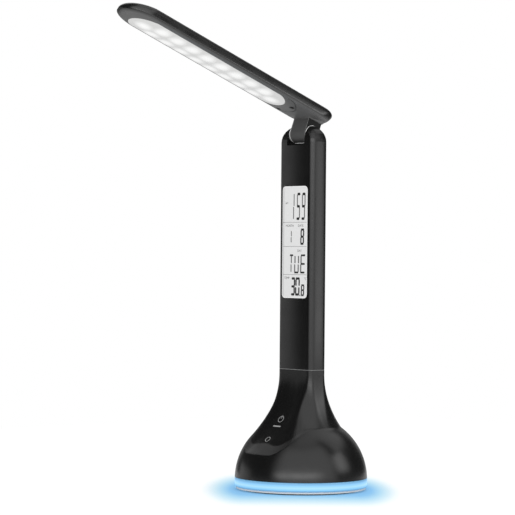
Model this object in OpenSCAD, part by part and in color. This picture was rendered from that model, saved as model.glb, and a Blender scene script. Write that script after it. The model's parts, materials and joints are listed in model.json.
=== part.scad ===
// Folding desk lamp with a calendar display in its column.
// The origin is the centre of the base on the desk, the display faces -Y and +Z is up.
// The lamp head is drawn at the tilt at which it is used, and folds down against the column.

/* [Base] */
// Diameter of the base
base_d = 119.2; // [112:0.2:126]
// Height of the anti-slip pad under the bottom cover
pad_h = 1.4; // [1:0.1:2]
// How far the anti-slip pad stands back from the base's edge
pad_inset = 7; // [6:0.5:14]
// Height of the pale rim of the bottom cover
rim_h = 1.6; // [1.2:0.1:2.4]
// How far the rim stands back from the light ring
rim_inset = 1.2; // [0.6:0.1:2]
// Height of the light ring
ring_h = 8.3; // [6:0.1:11]
// Radial thickness of the light ring
ring_t = 4.2; // [3:0.1:5]
// Rounding of the two outer edges of the light ring
ring_round = 1; // [0.4:0.1:1.6]
// Height of the sphere-like dome above its own centre
dome_h = 58; // [54:1:62]
// Height of the dome's centre above the desk
dome_z = 10; // [8:0.5:12]
// Wall of the base shell
shell_wall = 2.6; // [2:0.1:3]
// Height of the seam between base and column
seam_z = 108; // [100:1:116]

/* [Scoop and flare] */
// Height of the crease at the sides and the back, where the flare leaves the dome
crease_z = 56.5; // [53:0.5:60]
// Height of the lowest edge of the scoop at the front
scoop_z = 34; // [30:0.5:40]
// Angle on each side of the front over which the scoop's edge stays low
scoop_angle = 15; // [10:1:25]
// Angle on each side of the front where the scoop's edge has climbed to the crease
scoop_fade = 60; // [50:1:75]
// Straight stretch below the seam, before the flare begins
flare_drop = 4; // [2:0.5:8]
// Steepness of the flare's curve
flare_power = 2; // [1.6:0.05:2.4]

/* [Column] */
// Width of the column
column_w = 44.8; // [40:0.1:48]
// Depth of the column
column_d = 19.5; // [18:0.5:22]
// Radius of the column's upright corners
column_corner = 4.5; // [3:0.5:6]
// Height of the column's top above the desk
column_top = 327.5; // [315:0.5:340]
// Wall of the column housing
column_wall = 2.2; // [1.8:0.1:2.6]
// Height of the groove at the seam
seam_groove = 0.6; // [0.4:0.1:1]
// Depth of the groove at the seam
seam_depth = 0.5; // [0.3:0.1:0.8]
// Length of the tenon that stands in the base shell
tenon_l = 12; // [8:1:18]
// Height over which the column's top is rounded
crown_h = 15; // [12:0.5:17]
// How far the column's top is drawn in at each side
crown_draw = 14; // [10:0.5:15]

/* [Display] */
// Width of the display window
window_w = 34; // [30:0.5:35]
// Height of the display window
window_h = 100.6; // [90:0.2:110]
// Height of the window's centre above the desk
window_z = 222.6; // [215:0.2:230]
// Corner radius of the window
window_r = 4; // [1.5:0.1:5]
// Thickness of the window
window_t = 1; // [0.8:0.1:1.4]
// Thickness of the display module
display_t = 2.8; // [2:0.1:3.2]
// Width of the ledge on which the window is glued
window_ledge = 1.2; // [0.8:0.1:1.6]

/* [Hinge] */
// Distance of the hinge axis below the column's top
hinge_drop = 7.6; // [7:0.1:9]
// Radius of the neck's barrel, which is half of the neck's depth
barrel_r = 7.6; // [7:0.1:8]
// Width of the neck
neck_w = 21; // [18:0.5:23]
// Gap on each side of the neck, which a friction washer fills
neck_gap = 1.25; // [1:0.05:1.6]
// Radius of the hinge shaft
shaft_r = 2.5; // [2:0.1:3]
// How far the shaft reaches into each cheek
shaft_reach = 5; // [4:0.5:6]
// Radial running clearance of the shaft in the barrel
shaft_fit = 0.05; // [0.03:0.01:0.08]
// Outer radius of the friction washers
washer_r = 5.6; // [4.5:0.1:6.5]
// Clearance between the barrel and the trough of the column
trough_gap = 0.7; // [0.5:0.1:1.2]
// Depth of the front sill of the slot below the hinge axis
sill_drop = 10.2; // [9:0.1:12]
// Depth of the rear sill of the slot below the hinge axis
rear_drop = 6; // [5:0.5:8]

/* [Head] */
// Tilt of the head above level at rest
head_tilt = 21.2; // [10:0.2:30]
// Width of the head
head_w = 41; // [38:0.5:44]
// Thickness of the head, from the belly of its underside to its top
head_t = 14.5; // [12:0.1:16]
// Distance between the centres of the head's two round ends, where it is widest
head_l = 205.6; // [190:0.2:215]
// Distance of the underside's belly from the hinge axis
head_lift = 12.3; // [12:0.1:15]
// Height of the head's widest line above the belly
waist_h = 6; // [4:0.1:8]
// Fullness of the underside's curve
belly_power = 2.4; // [2:0.1:3]
// Fullness of the upper side's curve
top_power = 4.5; // [3:0.1:6]
// How far the free end is drawn in at the belly
toe_low = 17; // [0:0.5:24]
// How far the free end is drawn in at the top
toe_high = 7.3; // [0:0.1:12]
// How far the hinge end is drawn in at the belly
heel_low = 11; // [0:0.5:16]
// Wall of the head's upper shell
head_wall = 1.8; // [1.5:0.1:2.2]
// Distance of the lower frame's edge from the head's widest line
lip_w = 2; // [1.6:0.1:2.8]
// Depth of the fairing between head and neck
fairing_h = 2.4; // [1:0.1:4]
// How far the fairing spreads around the neck at the underside
fairing_spread = 2.5; // [1.5:0.5:4]

/* [Light panel] */
// Distance from the hinge axis to the centre of the panel's round end
panel_start = 53.2; // [50:0.1:60]
// Distance between the centres of the round ends of panel and head at the free end
free_band = 12.4; // [8:0.1:20]
// Width of the dark frame that shows around the panel
frame_w = 1; // [0.8:0.1:2]
// Thickness of the lower frame
frame_t = 1.8; // [1.4:0.1:2.2]
// Thickness of the panel's flange
panel_t = 1.2; // [1:0.1:2]
// Pitch of the lights along the head
led_pitch = 17.5; // [15:0.1:20]
// Distance between the two rows of lights
led_rows = 16; // [10:1:20]
// Distance of the single light at each end from the panel's round end's centre
led_end = 5; // [0:0.5:10]

/* [Fits] */
// Clearance of pieces that are assembled and don't move
fit = 0.15; // [0.1:0.05:0.3]
// Clearance of the set buttons in the rear cover
button_fit = 0.3; // [0.25:0.05:0.4]
// Radius of the small screws' thread
screw_r = 1.1; // [0.9:0.1:1.4]

/* [Hidden] */
$fn = 64;

eps = 0.01;
base_r = base_d / 2;
plate_z = pad_h;
ring_z = pad_h + rim_h;
shell_z = ring_z + ring_h;
ring_in_r = base_r - ring_t;
flare_z = seam_z - flare_drop;
hinge_z = column_top - hinge_drop;
front_y = -column_d / 2;
slot_w = neck_w + 2 * neck_gap;

// ---------------------------------------------------------------- shared shapes

// A rounded rectangle made of straight sides and true arcs.
module rounded_rect(w, d, r) {
    square([w - 2 * r, d], center = true);
    square([w, d - 2 * r], center = true);
    for (sx = [-1, 1], sy = [-1, 1])
        translate([sx * (w / 2 - r), sy * (d / 2 - r)]) circle(r = r);
}

// An outline with two round ends: half width r, centres at y = 0 and y = -l.
module capsule(r, l) {
    translate([-r, -l]) square([2 * r, l]);
    circle(r = r);
    translate([0, -l]) circle(r = r);
}

// A ring-shaped solid about the Z axis.
module tube(r_out, r_in, h) {
    difference() {
        cylinder(r = r_out, h = h);
        translate([0, 0, -eps]) cylinder(r = r_in, h = h + 2 * eps);
    }
}

// A pan-head screw that points along +Z, with its head's underside at z = 0.
screw_head_r = 2 * screw_r;
screw_head_h = 1.2;
module screw(l) {
    difference() {
        union() {
            cylinder(r = screw_r, h = l);
            translate([0, 0, -screw_head_h]) cylinder(r = screw_head_r, h = screw_head_h);
        }
        translate([0, 0, -screw_head_h - eps]) {
            translate([-0.3, -screw_r, 0]) cube([0.6, 2 * screw_r, 0.6]);
            translate([-screw_r, -0.3, 0]) cube([2 * screw_r, 0.6, 0.6]);
        }
    }
}

// ---------------------------------------------------------------- base

// Radius of the dome at a height.
function dome_radius(z) = base_r * sqrt(1 - pow((z - dome_z) / dome_h, 2));

// Distance from the axis to the column's outline in a direction, which is 0 at the front.
function column_radius(a, w, d, r) =
    let (s = abs(sin(a)), c = abs(cos(a)),
         flat_x = w / 2 - r, flat_y = d / 2 - r,
         on_front = d / 2 * s / max(c, eps), on_side = w / 2 * c / max(s, eps))
    on_front <= flat_x ? d / 2 / max(c, eps)
    : on_side <= flat_y ? w / 2 / max(s, eps)
    : let (m = flat_x * s + flat_y * c)
      m + sqrt(m * m - flat_x * flat_x - flat_y * flat_y + r * r);

function smooth(t) = let (u = min(1, max(0, t))) u * u * (3 - 2 * u);

// Height of the crease between dome and flare: low at the front, where the scoop is.
function crease_height(a) =
    scoop_z + (crease_z - scoop_z) * smooth((a - scoop_angle) / (scoop_fade - scoop_angle));

// Radius of the shell's surface, measured in from its outside by the wall.
// t runs from 0 at the bottom edge over 1 at the crease to 2 at the seam.
function shell_height(a, t) =
    let (c = crease_height(a))
    t <= 1 ? shell_z + (c - shell_z) * t : c + (seam_z - c) * (t - 1);
function shell_radius(a, t, wall) =
    let (z = shell_height(a, t), c = crease_height(a))
    (t <= 1 ? dome_radius(z) : flare_radius(a, z, c)) - wall;

// The flare's cross-section grows from the column's rounded rectangle into the dome's circle.
function flare_radius(a, z, c) =
    let (u = max(0, (flare_z - z) / (flare_z - c)), g = pow(u, flare_power), r = dome_radius(c))
    column_radius(a, column_w + (2 * r - column_w) * g, column_d + (2 * r - column_d) * g,
                  column_corner + (r - column_corner) * g);

// Directions of the shell's upright lines in a quarter turn. Those at the column's corner lie on its arc.
front_steps = 6;
corner_steps = 6;
arc_x = column_w / 2 - column_corner;
arc_y = column_d / 2 - column_corner;
arc_start = atan2(arc_x, column_d / 2);
quarter = concat(
    [for (i = [0:front_steps - 1]) arc_start * i / front_steps],
    [for (i = [0:corner_steps]) let (p = 90 * i / corner_steps)
        atan2(arc_x + column_corner * sin(p), arc_y + column_corner * cos(p))],
    [atan2(column_w, arc_y)]);
quarter_n = len(quarter);
side_angle = concat(quarter, [90], [for (i = [quarter_n - 1:-1:1]) 180 - quarter[i]],
                    [for (i = [0:quarter_n - 1]) 180 + quarter[i]], [270],
                    [for (i = [quarter_n - 1:-1:1]) 360 - quarter[i]]);
shell_sides = len(side_angle);
low_rows = 8;
high_rows = 11;
shell_levels = concat([for (i = [0:low_rows]) i / low_rows],
                      [for (i = [1:high_rows]) 1 + i / high_rows]);

// The wall is one closed skin: up the outside, over the top edge and down the inside.
module base_wall() {
    rows = len(shell_levels);
    function point(k, t, wall) =
        let (a = side_angle[k], b = a > 180 ? 360 - a : a, r = shell_radius(b, t, wall))
        [r * sin(a), -r * cos(a), shell_height(b, t)];
    points = concat(
        [for (i = [0:rows - 1], k = [0:shell_sides - 1]) point(k, shell_levels[i], 0)],
        [for (i = [rows - 1:-1:0], k = [0:shell_sides - 1]) point(k, shell_levels[i], shell_wall)]);
    loops = 2 * rows;
    faces = [for (i = [0:loops - 1], k = [0:shell_sides - 1], half = [0, 1])
        let (n = (k + 1) % shell_sides, j = (i + 1) % loops,
             p = i * shell_sides + k, q = i * shell_sides + n,
             s = j * shell_sides + n, t = j * shell_sides + k)
        half == 0 ? [p, s, q] : [p, t, s]];
    polyhedron(points, faces);
}

base_screw_inset = 21.6;
base_screw_ring = base_r - base_screw_inset;
base_screw_l = 15;
base_screw_z = plate_z + screw_head_h;
ballast_h = 6;
ballast_top = ring_z + ballast_h;
module at_base_screws() for (a = [45:90:315]) rotate(a) translate([base_screw_ring, 0, 0]) children();

inlet_r = 4.2;
inlet_rise = 10;
inlet_z = shell_z + inlet_rise;
inlet_face_y = dome_radius(inlet_z + inlet_r) - shell_wall / 2;

// Screw bosses stand on the ballast and run up into the dome's wall.
boss_r = 3.4;
boss_top = dome_z + dome_h * sqrt(1 - pow((base_screw_ring + boss_r) / base_r, 2)) - 1;
module base_bosses() at_base_screws() translate([0, 0, ballast_top]) difference() {
    cylinder(r = boss_r, h = boss_top - ballast_top);
    translate([0, 0, -eps]) cylinder(r = screw_r, h = base_screw_l);
}

module base_shell() color([0.12, 0.12, 0.13]) {
    difference() {
        union() {
            base_wall();
            base_bosses();
        }
        translate([0, base_r / 2, inlet_z]) rotate([-90, 0, 0])
            cylinder(r = inlet_r + fit, h = base_r);
    }
}

module foot_pad() color([0.2, 0.2, 0.2]) cylinder(r = base_r - pad_inset, h = pad_h);

plate_r = base_r - rim_inset;
plate_step_h = 2.2;
plate_step_w = 2;
plate_step_r = ring_in_r - fit;

module base_plate() color([0.86, 0.87, 0.88]) {
    difference() {
        union() {
            translate([0, 0, plate_z]) cylinder(r = plate_r, h = rim_h);
            translate([0, 0, ring_z]) tube(plate_step_r, plate_step_r - plate_step_w, plate_step_h);
        }
        at_base_screws() translate([0, 0, plate_z - eps]) {
            cylinder(r = screw_r + fit, h = rim_h + 2 * eps);
            cylinder(r = screw_head_r + fit, h = screw_head_h + eps);
        }
    }
}

ballast_r = plate_step_r - plate_step_w - 1;
module ballast() color([0.45, 0.46, 0.48]) {
    difference() {
        translate([0, 0, ring_z]) cylinder(r = ballast_r, h = ballast_h);
        at_base_screws() translate([0, 0, ring_z - eps]) cylinder(r = screw_r + fit, h = ballast_h + 2 * eps);
    }
}

// The heads sit in the bottom cover, under the anti-slip pad.
module base_screws() color([0.6, 0.6, 0.62])
    at_base_screws() translate([0, 0, base_screw_z]) screw(base_screw_l - 1);

module light_ring() color([0.62, 0.84, 1]) {
    translate([0, 0, ring_z]) rotate_extrude() {
        translate([ring_in_r, 0]) square([ring_t - ring_round, ring_h]);
        translate([base_r - ring_round - eps, ring_round])
            square([ring_round + eps, ring_h - 2 * ring_round]);
        for (z = [ring_round, ring_h - ring_round])
            translate([base_r - ring_round, z]) circle(r = ring_round);
    }
}

mood_t = 1.2;
mood_z = ring_z + plate_step_h;
mood_r = ring_in_r - fit;
mood_count = 24;
mood_led = [2, 1.6, 1.4];
module mood_board() color([0.9, 0.92, 0.9])
    translate([0, 0, mood_z]) tube(mood_r, mood_r - plate_step_w, mood_t);

module mood_lights() color([0.98, 0.97, 0.9])
    for (k = [0:mood_count - 1]) rotate(360 * k / mood_count)
        translate([-mood_led[0] / 2, -mood_r + fit, mood_z + mood_t]) cube(mood_led);

// The main board lies on the ballast, with its rear edge near the shell's wall.
board_size = [36, 44, 1.6];
board_inset = 11.6;
board_back = base_r - board_inset;
board_top = ballast_top + board_size[2];
chip_size = [12, 12, 2];
coil_r = 4;
coil_h = 9;
module main_board() color([0.1, 0.35, 0.2])
    translate([0, board_back - board_size[1] / 2, 0]) {
        translate([-board_size[0] / 2, -board_size[1] / 2, ballast_top]) cube(board_size);
        translate([-board_size[0] / 4, -board_size[1] / 4, board_top - eps])
            translate([-chip_size[0] / 2, -chip_size[1] / 2, 0]) cube(chip_size);
        translate([board_size[0] / 4, -board_size[1] / 4, board_top - eps]) cylinder(r = coil_r, h = coil_h);
    }

inlet_box = [9, 11];
inlet_bore_r = 2.75;
inlet_bore_l = 12;
inlet_pin_r = 1;
module power_inlet() color([0.08, 0.08, 0.08]) {
    box_y = board_back - inlet_box[1];
    difference() {
        union() {
            translate([-inlet_box[0] / 2, box_y, board_top])
                cube([inlet_box[0], inlet_box[1], inlet_z + inlet_r - board_top]);
            translate([0, box_y, inlet_z]) rotate([-90, 0, 0])
                cylinder(r = inlet_r, h = inlet_face_y - box_y);
        }
        translate([0, inlet_face_y - inlet_bore_l, inlet_z]) rotate([-90, 0, 0])
            cylinder(r = inlet_bore_r, h = inlet_bore_l + 1);
    }
    translate([0, inlet_face_y - inlet_bore_l - 1, inlet_z]) rotate([-90, 0, 0])
        cylinder(r = inlet_pin_r, h = inlet_bore_l);
}

// The touch board lies behind the scoop, along the tangent to its inner face.
touch_z = 57;
touch_size = [15, 1, 32];
touch_gap = 1.6;
spring_r = 3;
spring_gap = 0.3;
scoop_slope = (shell_front(touch_z - 1) - shell_front(touch_z + 1)) / 2;
function shell_front(z) = flare_radius(0, z, scoop_z) - shell_wall;
touch_lean = atan(scoop_slope);
module touch_frame() translate([0, -shell_front(touch_z), touch_z]) rotate([-touch_lean, 0, 0]) children();

module touch_board() color([0.1, 0.35, 0.2])
    touch_frame() translate([-touch_size[0] / 2, touch_gap, -touch_size[2] / 2]) cube(touch_size);

key_pitch = 10.5;
module touch_springs() color([0.75, 0.6, 0.3])
    touch_frame() for (k = [-1:1]) translate([0, spring_gap, k * key_pitch])
        rotate([-90, 0, 0]) cylinder(r = spring_r, h = touch_gap - spring_gap);

// ---------------------------------------------------------------- column

cavity_d = column_d - 2 * column_wall;
cavity_w = column_w - 2 * column_wall;
cavity_bottom = seam_z + 3;
cavity_top = hinge_z - sill_drop - 3;
cover_w = 34;
cover_rise = 8;
cover_z0 = seam_z + cover_rise;
cover_z1 = cavity_top - 4;
cover_r = 3;
cover_t = column_wall;
cover_boss_r = 2.6;
cover_screw_inset = [4, 5];
cover_screw_l = 6;

module upright(w, d, r, z0, z1) translate([0, 0, z0]) linear_extrude(z1 - z0) rounded_rect(w, d, r);

// The top is a stack of outlines that shrink like an ellipse, down to a short ridge.
crown_steps = 9;
crown_ridge = 1;
module crown() hull() for (i = [0:crown_steps])
    let (p = 90 * i / crown_steps, d = max(crown_ridge, column_d * cos(p)))
    translate([0, 0, column_top - crown_h * (1 - sin(p)) - eps]) linear_extrude(eps)
        rounded_rect(column_w - 2 * crown_draw * (1 - cos(p)), d, min(column_corner, 0.45 * d), $fn = 32);

module column_body() {
    upright(column_w, column_d, column_corner, seam_z + seam_groove, column_top - crown_h);
    upright(column_w - 2 * seam_depth, column_d - 2 * seam_depth, column_corner - seam_depth,
            seam_z, seam_z + seam_groove + eps);
    crown();
}

tenon_w = column_w - 2 * shell_wall - 2 * fit;
tenon_d = column_d - 2 * shell_wall - 2 * fit;
tenon_wall = 2;
module tenon() upright(tenon_w, tenon_d, column_corner - shell_wall, seam_z - tenon_l, cavity_bottom);
module tenon_hole() upright(tenon_w - 2 * tenon_wall, tenon_d - 2 * tenon_wall, 1,
                            seam_z - tenon_l - 1, cavity_bottom + 1);

// Room for the neck: open to the front, the top and the back.
module hinge_slot() {
    depth = column_d;
    translate([-slot_w / 2, -depth, hinge_z - sill_drop]) cube([slot_w, depth, sill_drop + crown_h]);
    translate([-slot_w / 2, 0, hinge_z - rear_drop]) cube([slot_w, depth, rear_drop + crown_h]);
    translate([-slot_w / 2, 0, hinge_z]) rotate([0, 90, 0])
        cylinder(r = barrel_r + trough_gap, h = slot_w);
}

shaft_l = slot_w + 2 * shaft_reach;
nut_t = 2.6;
nut_r = 3.8;
shaft_seat = 0.02;
module hinge_bores() {
    rotate([0, 90, 0]) {
        translate([0, 0, -shaft_l / 2]) cylinder(r = shaft_r + shaft_seat, h = shaft_l);
        for (s = [-1, 1]) translate([0, 0, s * (shaft_l / 2 - nut_t / 2)])
            cylinder(r = nut_r + fit, h = nut_t + 2 * fit, center = true);
    }
}

module cover_screw_spots()
    for (x = [-1, 1], z = [cover_z0 + cover_screw_inset[1], cover_z1 - cover_screw_inset[1]])
        translate([x * (cover_w / 2 - cover_screw_inset[0]), column_d / 2, z]) rotate([90, 0, 0]) children();

module column_housing() color([0.12, 0.12, 0.13]) {
    difference() {
        union() {
            column_body();
            tenon();
        }
        difference() {
            upright(cavity_w, cavity_d, column_corner - column_wall, cavity_bottom, cavity_top);
            cover_screw_spots() translate([0, 0, cover_t + fit]) cylinder(r = cover_boss_r, h = cavity_d);
        }
        tenon_hole();
        translate([0, column_d / 2 - cover_t - fit, (cover_z0 + cover_z1) / 2]) rotate([-90, 0, 0])
            linear_extrude(column_wall + 2)
                rounded_rect(cover_w + 2 * fit, cover_z1 - cover_z0 + 2 * fit, cover_r + fit);
        cover_screw_spots() cylinder(r = screw_r, h = screw_head_h + cover_screw_l + 1);
        window_cut(window_w + 2 * fit, window_h + 2 * fit, window_r + fit, -1, window_t + fit);
        window_cut(window_w - 2 * window_ledge, window_h - 2 * window_ledge, window_r, 0, column_wall + 1);
        hinge_slot();
        translate([0, 0, hinge_z]) hinge_bores();
    }
}

// A block in the front face, from y0 to y1 behind the face.
module window_cut(w, h, r, y0, y1)
    translate([0, front_y + y0, window_z]) rotate([-90, 0, 0])
        linear_extrude(y1 - y0) rounded_rect(w, h, r);

module display_window() color([0.85, 0.9, 0.9])
    window_cut(window_w, window_h, window_r, 0, window_t);

display_w = window_w + 2;
display_h = window_h + 4;
display_y = column_wall + fit;
module display_module() color([0.8, 0.82, 0.8]) {
    window_cut(display_w, display_h, 1, display_y, display_y + display_t);
    window_cut(window_w - 2 * window_ledge - 2 * fit, window_h - 2 * window_ledge - 2 * fit, window_r,
               window_t + fit, display_y + eps);
}

clock_y = display_y + display_t;
clock_t = 1.2;
clock_h = 130;
switch_w = 4;
switch_h = 1.6;
module clock_board() color([0.1, 0.35, 0.2]) {
    window_cut(display_w, clock_h, 1, clock_y, clock_y + clock_t);
    at_buttons() translate([-switch_w / 2, clock_y + clock_t - eps - column_d, -switch_w / 2])
        cube([switch_w, switch_h, switch_w]);
}

// Three set buttons in the rear cover.
button_count = 3;
button_pitch = 11;
button_z = 222;
button_r = 2.5;
button_travel = 0.6;
button_proud = 0.8;
module at_button(k) translate([0, column_d / 2, button_z + (1 - k) * button_pitch]) children();
module at_buttons() for (k = [0:button_count - 1]) at_button(k) children();

module column_cover() color([0.12, 0.12, 0.13]) {
    difference() {
        translate([0, column_d / 2 - cover_t, (cover_z0 + cover_z1) / 2]) rotate([-90, 0, 0])
            linear_extrude(cover_t) rounded_rect(cover_w, cover_z1 - cover_z0, cover_r);
        cover_screw_spots() {
            translate([0, 0, -1]) cylinder(r = screw_r + fit, h = cover_t + 2);
            translate([0, 0, -1]) cylinder(r = screw_head_r + fit, h = screw_head_h + 1);
        }
        at_buttons() rotate([90, 0, 0]) translate([0, 0, -1])
            cylinder(r = button_r + button_fit, h = cover_t + 2);
    }
}

module column_screws() color([0.6, 0.6, 0.62])
    cover_screw_spots() translate([0, 0, screw_head_h]) screw(cover_screw_l);

// A button's cap goes through the cover, its flange lies behind the cover, its stem meets the switch.
button_gap = 0.1;
button_end = column_d - (clock_y + clock_t + switch_h) - button_travel - button_gap;
button_flange = 1;
module set_button(k) color([0.2, 0.2, 0.21])
    at_button(k) rotate([90, 0, 0]) {
        translate([0, 0, -button_proud])
            cylinder(r = button_r, h = button_proud + cover_t + button_gap + eps);
        translate([0, 0, cover_t + button_gap]) cylinder(r = button_r + button_flange, h = button_flange);
        translate([0, 0, cover_t]) cylinder(r = button_r - 1, h = button_end - cover_t);
    }
module mode_button() set_button(0);
module up_button() set_button(1);
module down_button() set_button(2);

// ---------------------------------------------------------------- hinge

module hinge_shaft() color([0.6, 0.6, 0.62])
    translate([-shaft_l / 2, 0, hinge_z]) rotate([0, 90, 0]) cylinder(r = shaft_r, h = shaft_l);

washer_t = neck_gap - 0.2;
module friction_washers() color([0.6, 0.6, 0.62])
    for (s = [-1, 1]) translate([s * (neck_w + neck_gap) / 2, 0, hinge_z]) rotate([0, 90, 0])
        translate([0, 0, -washer_t / 2]) tube(washer_r, shaft_r + shaft_seat, washer_t);

module shaft_nuts() color([0.6, 0.6, 0.62])
    for (s = [-1, 1]) translate([s * (shaft_l / 2 - nut_t / 2), 0, hinge_z]) rotate([0, 90, 0])
        translate([0, 0, -nut_t / 2]) difference() {
            cylinder(r = nut_r, h = nut_t, $fn = 6);
            translate([0, 0, -1]) cylinder(r = shaft_r + shaft_seat, h = nut_t + 2);
        }

// ---------------------------------------------------------------- head

// The head's own frame: hinge axis at the origin, free end along -Y, upper side along +Z.
module in_head() translate([0, 0, hinge_z]) rotate([-head_tilt, 0, 0]) children();

head_r = head_w / 2;
inner_r = head_r - lip_w;
waist_n = head_lift + waist_h;
top_n = head_lift + head_t;

// The head's form is a stack of outlines with two round ends. Below its widest line it has the soft curve
// of the belly, above it a squarer one, and both ends are drawn in towards the belly and the top.
// p runs from 0 in the middle of the underside over 90 at the widest line to 180 in the middle of the top.
form_turns = [8, 24, 40, 56, 72, 90, 105, 120, 135, 150, 165, 174];
form_arc = 14;
function form_n(p, d) =
    p <= 90 ? waist_n - (waist_h - d) * pow(cos(p), 2 / belly_power)
            : waist_n + (head_t - waist_h - d) * pow(-cos(p), 2 / top_power);
function form_w(p, d) = (head_r - d) * pow(sin(p), 2 / (p <= 90 ? belly_power : top_power));
function toe_u(n) =
    let (low = (waist_n - n) / waist_h, high = (n - waist_n) / (head_t - waist_h))
    head_l - (low > 0 ? toe_low * low * low : toe_high * high * high);
function heel_u(n) = let (t = (top_n - n) / head_t) heel_low * t * t;

// The form, set in by d from the outside of the head.
module head_form(d) {
    rows = len(form_turns);
    around = 2 * (form_arc + 1);
    points = [for (p = form_turns, end = [0, 1], i = [0:form_arc])
        let (n = form_n(p, d), w = form_w(p, d), a = 180 * (end + i / form_arc),
             u = end == 0 ? toe_u(n) : heel_u(n))
        [w * cos(a), -u - w * sin(a), n]];
    sides = [for (i = [0:rows - 2], k = [0:around - 1], half = [0, 1])
        let (q = (k + 1) % around, a = i * around, b = a + around)
        half == 0 ? [a + k, a + q, b + q] : [a + k, b + q, b + k]];
    polyhedron(points, concat(sides, [[for (k = [around - 1:-1:0]) k]],
                              [[for (k = [0:around - 1]) (rows - 1) * around + k]]));
}

// An upright block with the outline of a capsule, from the height n0 to n1 in the head's frame.
module capsule_block(r, start, l, n0, n1)
    translate([0, -start, n0]) linear_extrude(n1 - n0) capsule(r, l);

neck_screw_spot = [7.5, 10.1];
module neck_screw_spots()
    for (x = [-1, 1], y = [-1, 1]) translate([x * neck_screw_spot[0], y * neck_screw_spot[1], 0]) children();
frame_screw_x = 9;
frame_screw_u = 29;
module frame_screw_spots() {
    for (x = [-1, 1]) translate([x * frame_screw_x, -frame_screw_u, 0]) children();
}

// The lower frame reaches up to frame_top, and its edge stands inside the upper shell's lip.
edge_rise = 2.3;
edge_n = head_lift + edge_rise;
frame_top = edge_n + frame_t;
frame_l = toe_u(frame_top);
roof_t = 2.6;
roof_n = top_n - roof_t;
flange_t = 2;
roof_boss_h = 2.2;
roof_boss_r = 2.4;
frame_boss_r = 2.4;
frame_screw_l = 7;
frame_screw_sink = 1.6;
frame_seat_n = head_lift + frame_screw_sink;
flange_n = roof_n - roof_boss_h - flange_t;
flange_l = 25;
module head_shell() color([0.12, 0.12, 0.13]) in_head() {
    difference() {
        head_form(0);
        difference() {
            head_form(head_wall);
            translate([-head_w, -2 * head_l, roof_n]) cube([2 * head_w, 3 * head_l, head_t]);
            neck_screw_spots() translate([0, 0, flange_n + flange_t]) cylinder(r = roof_boss_r, h = head_t);
            frame_screw_spots() translate([0, 0, frame_top]) cylinder(r = frame_boss_r, h = head_t);
        }
        capsule_block(inner_r, 0, frame_l, 0, frame_top);
        neck_screw_spots() translate([0, 0, flange_n]) cylinder(r = screw_r, h = flange_t + roof_boss_h);
        frame_screw_spots() translate([0, 0, frame_seat_n]) cylinder(r = screw_r, h = frame_screw_l);
    }
}

// The neck is put through the lower frame, and its flange is screwed to the roof of the upper shell.
fairing_n = edge_n - fairing_h;
module neck() color([0.14, 0.14, 0.15]) in_head() {
    difference() {
        union() {
            rotate([0, 90, 0]) translate([0, 0, -neck_w / 2]) cylinder(r = barrel_r, h = neck_w);
            translate([-neck_w / 2, -barrel_r, 0]) cube([neck_w, 2 * barrel_r, flange_n + eps]);
            translate([-neck_w / 2, -flange_l / 2, flange_n]) cube([neck_w, flange_l, flange_t]);
        }
        rotate([0, 90, 0]) translate([0, 0, -neck_w]) cylinder(r = shaft_r + shaft_fit, h = 2 * neck_w);
        neck_screw_spots() translate([0, 0, flange_n - 1]) cylinder(r = screw_r + fit, h = flange_t + 2);
    }
}

module neck_screws() color([0.6, 0.6, 0.62]) in_head()
    neck_screw_spots() translate([0, 0, flange_n]) screw(flange_t + roof_boss_h - 1);

// Lower frame: closes the head, holds the light panel and ends in the fairing round the neck.
collar_t = 0.8;
cover_groove = 0.5;
cover_start = 40;
module head_frame() color([0.16, 0.16, 0.17]) in_head() {
    difference() {
        union() {
            intersection() {
                difference() {
                    head_form(0);
                    head_form(frame_t);
                }
                capsule_block(inner_r - fit, 0, frame_l, 0, frame_top);
            }
            hull() {
                translate([0, 0, frame_top - 1]) linear_extrude(0.2)
                    rounded_rect(neck_w + 2 * fairing_spread, 2 * barrel_r + 2 * fairing_spread, 4, $fn = 32);
                translate([0, 0, fairing_n]) linear_extrude(0.2)
                    rounded_rect(neck_w + 2 * collar_t, 2 * barrel_r + 2 * collar_t, 0.6, $fn = 32);
            }
        }
        capsule_block(inner_r - frame_w, panel_start, panel_l, 0, frame_top + 1);
        translate([0, 0, fairing_n - 1]) linear_extrude(frame_top)
            square([neck_w + 2 * fit, 2 * barrel_r + 2 * fit], center = true);
        // The groove that parts the lower cover from the hinge end's fairing.
        intersection() {
            difference() {
                capsule_block(inner_r, cover_start, panel_l, 0, waist_n);
                capsule_block(inner_r - cover_groove, cover_start, panel_l, -1, waist_n + 1);
                head_form(cover_groove);
            }
            translate([-head_w, -cover_start, 0]) cube([2 * head_w, cover_start, waist_n]);
        }
        frame_screw_spots() {
            cylinder(r = screw_r + fit, h = frame_top + 1);
            cylinder(r = screw_head_r + fit, h = frame_seat_n);
        }
    }
    // Screw seats inside the frame, under the bosses of the upper shell.
    frame_screw_spots() translate([0, 0, frame_seat_n])
        tube(frame_boss_r + 1, screw_r + fit, frame_top - frame_seat_n);
}

module head_screws() color([0.6, 0.6, 0.62]) in_head()
    frame_screw_spots() translate([0, 0, frame_seat_n]) screw(frame_screw_l - 1);

panel_l = head_l - free_band - panel_start;
panel_r = inner_r - frame_w - fit;
panel_sink = 0.15;
flange_rim = 0.6;
module light_panel() color([0.95, 0.95, 0.93]) in_head() {
    difference() {
        intersection() {
            union() {
                intersection() {
                    head_form(panel_sink);
                    capsule_block(panel_r, panel_start, panel_l, 0, waist_n);
                }
                head_form(frame_t);
            }
            capsule_block(panel_r + flange_rim, panel_start, panel_l, 0, waist_n);
        }
        head_form(frame_t + panel_t);
    }
}

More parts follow.
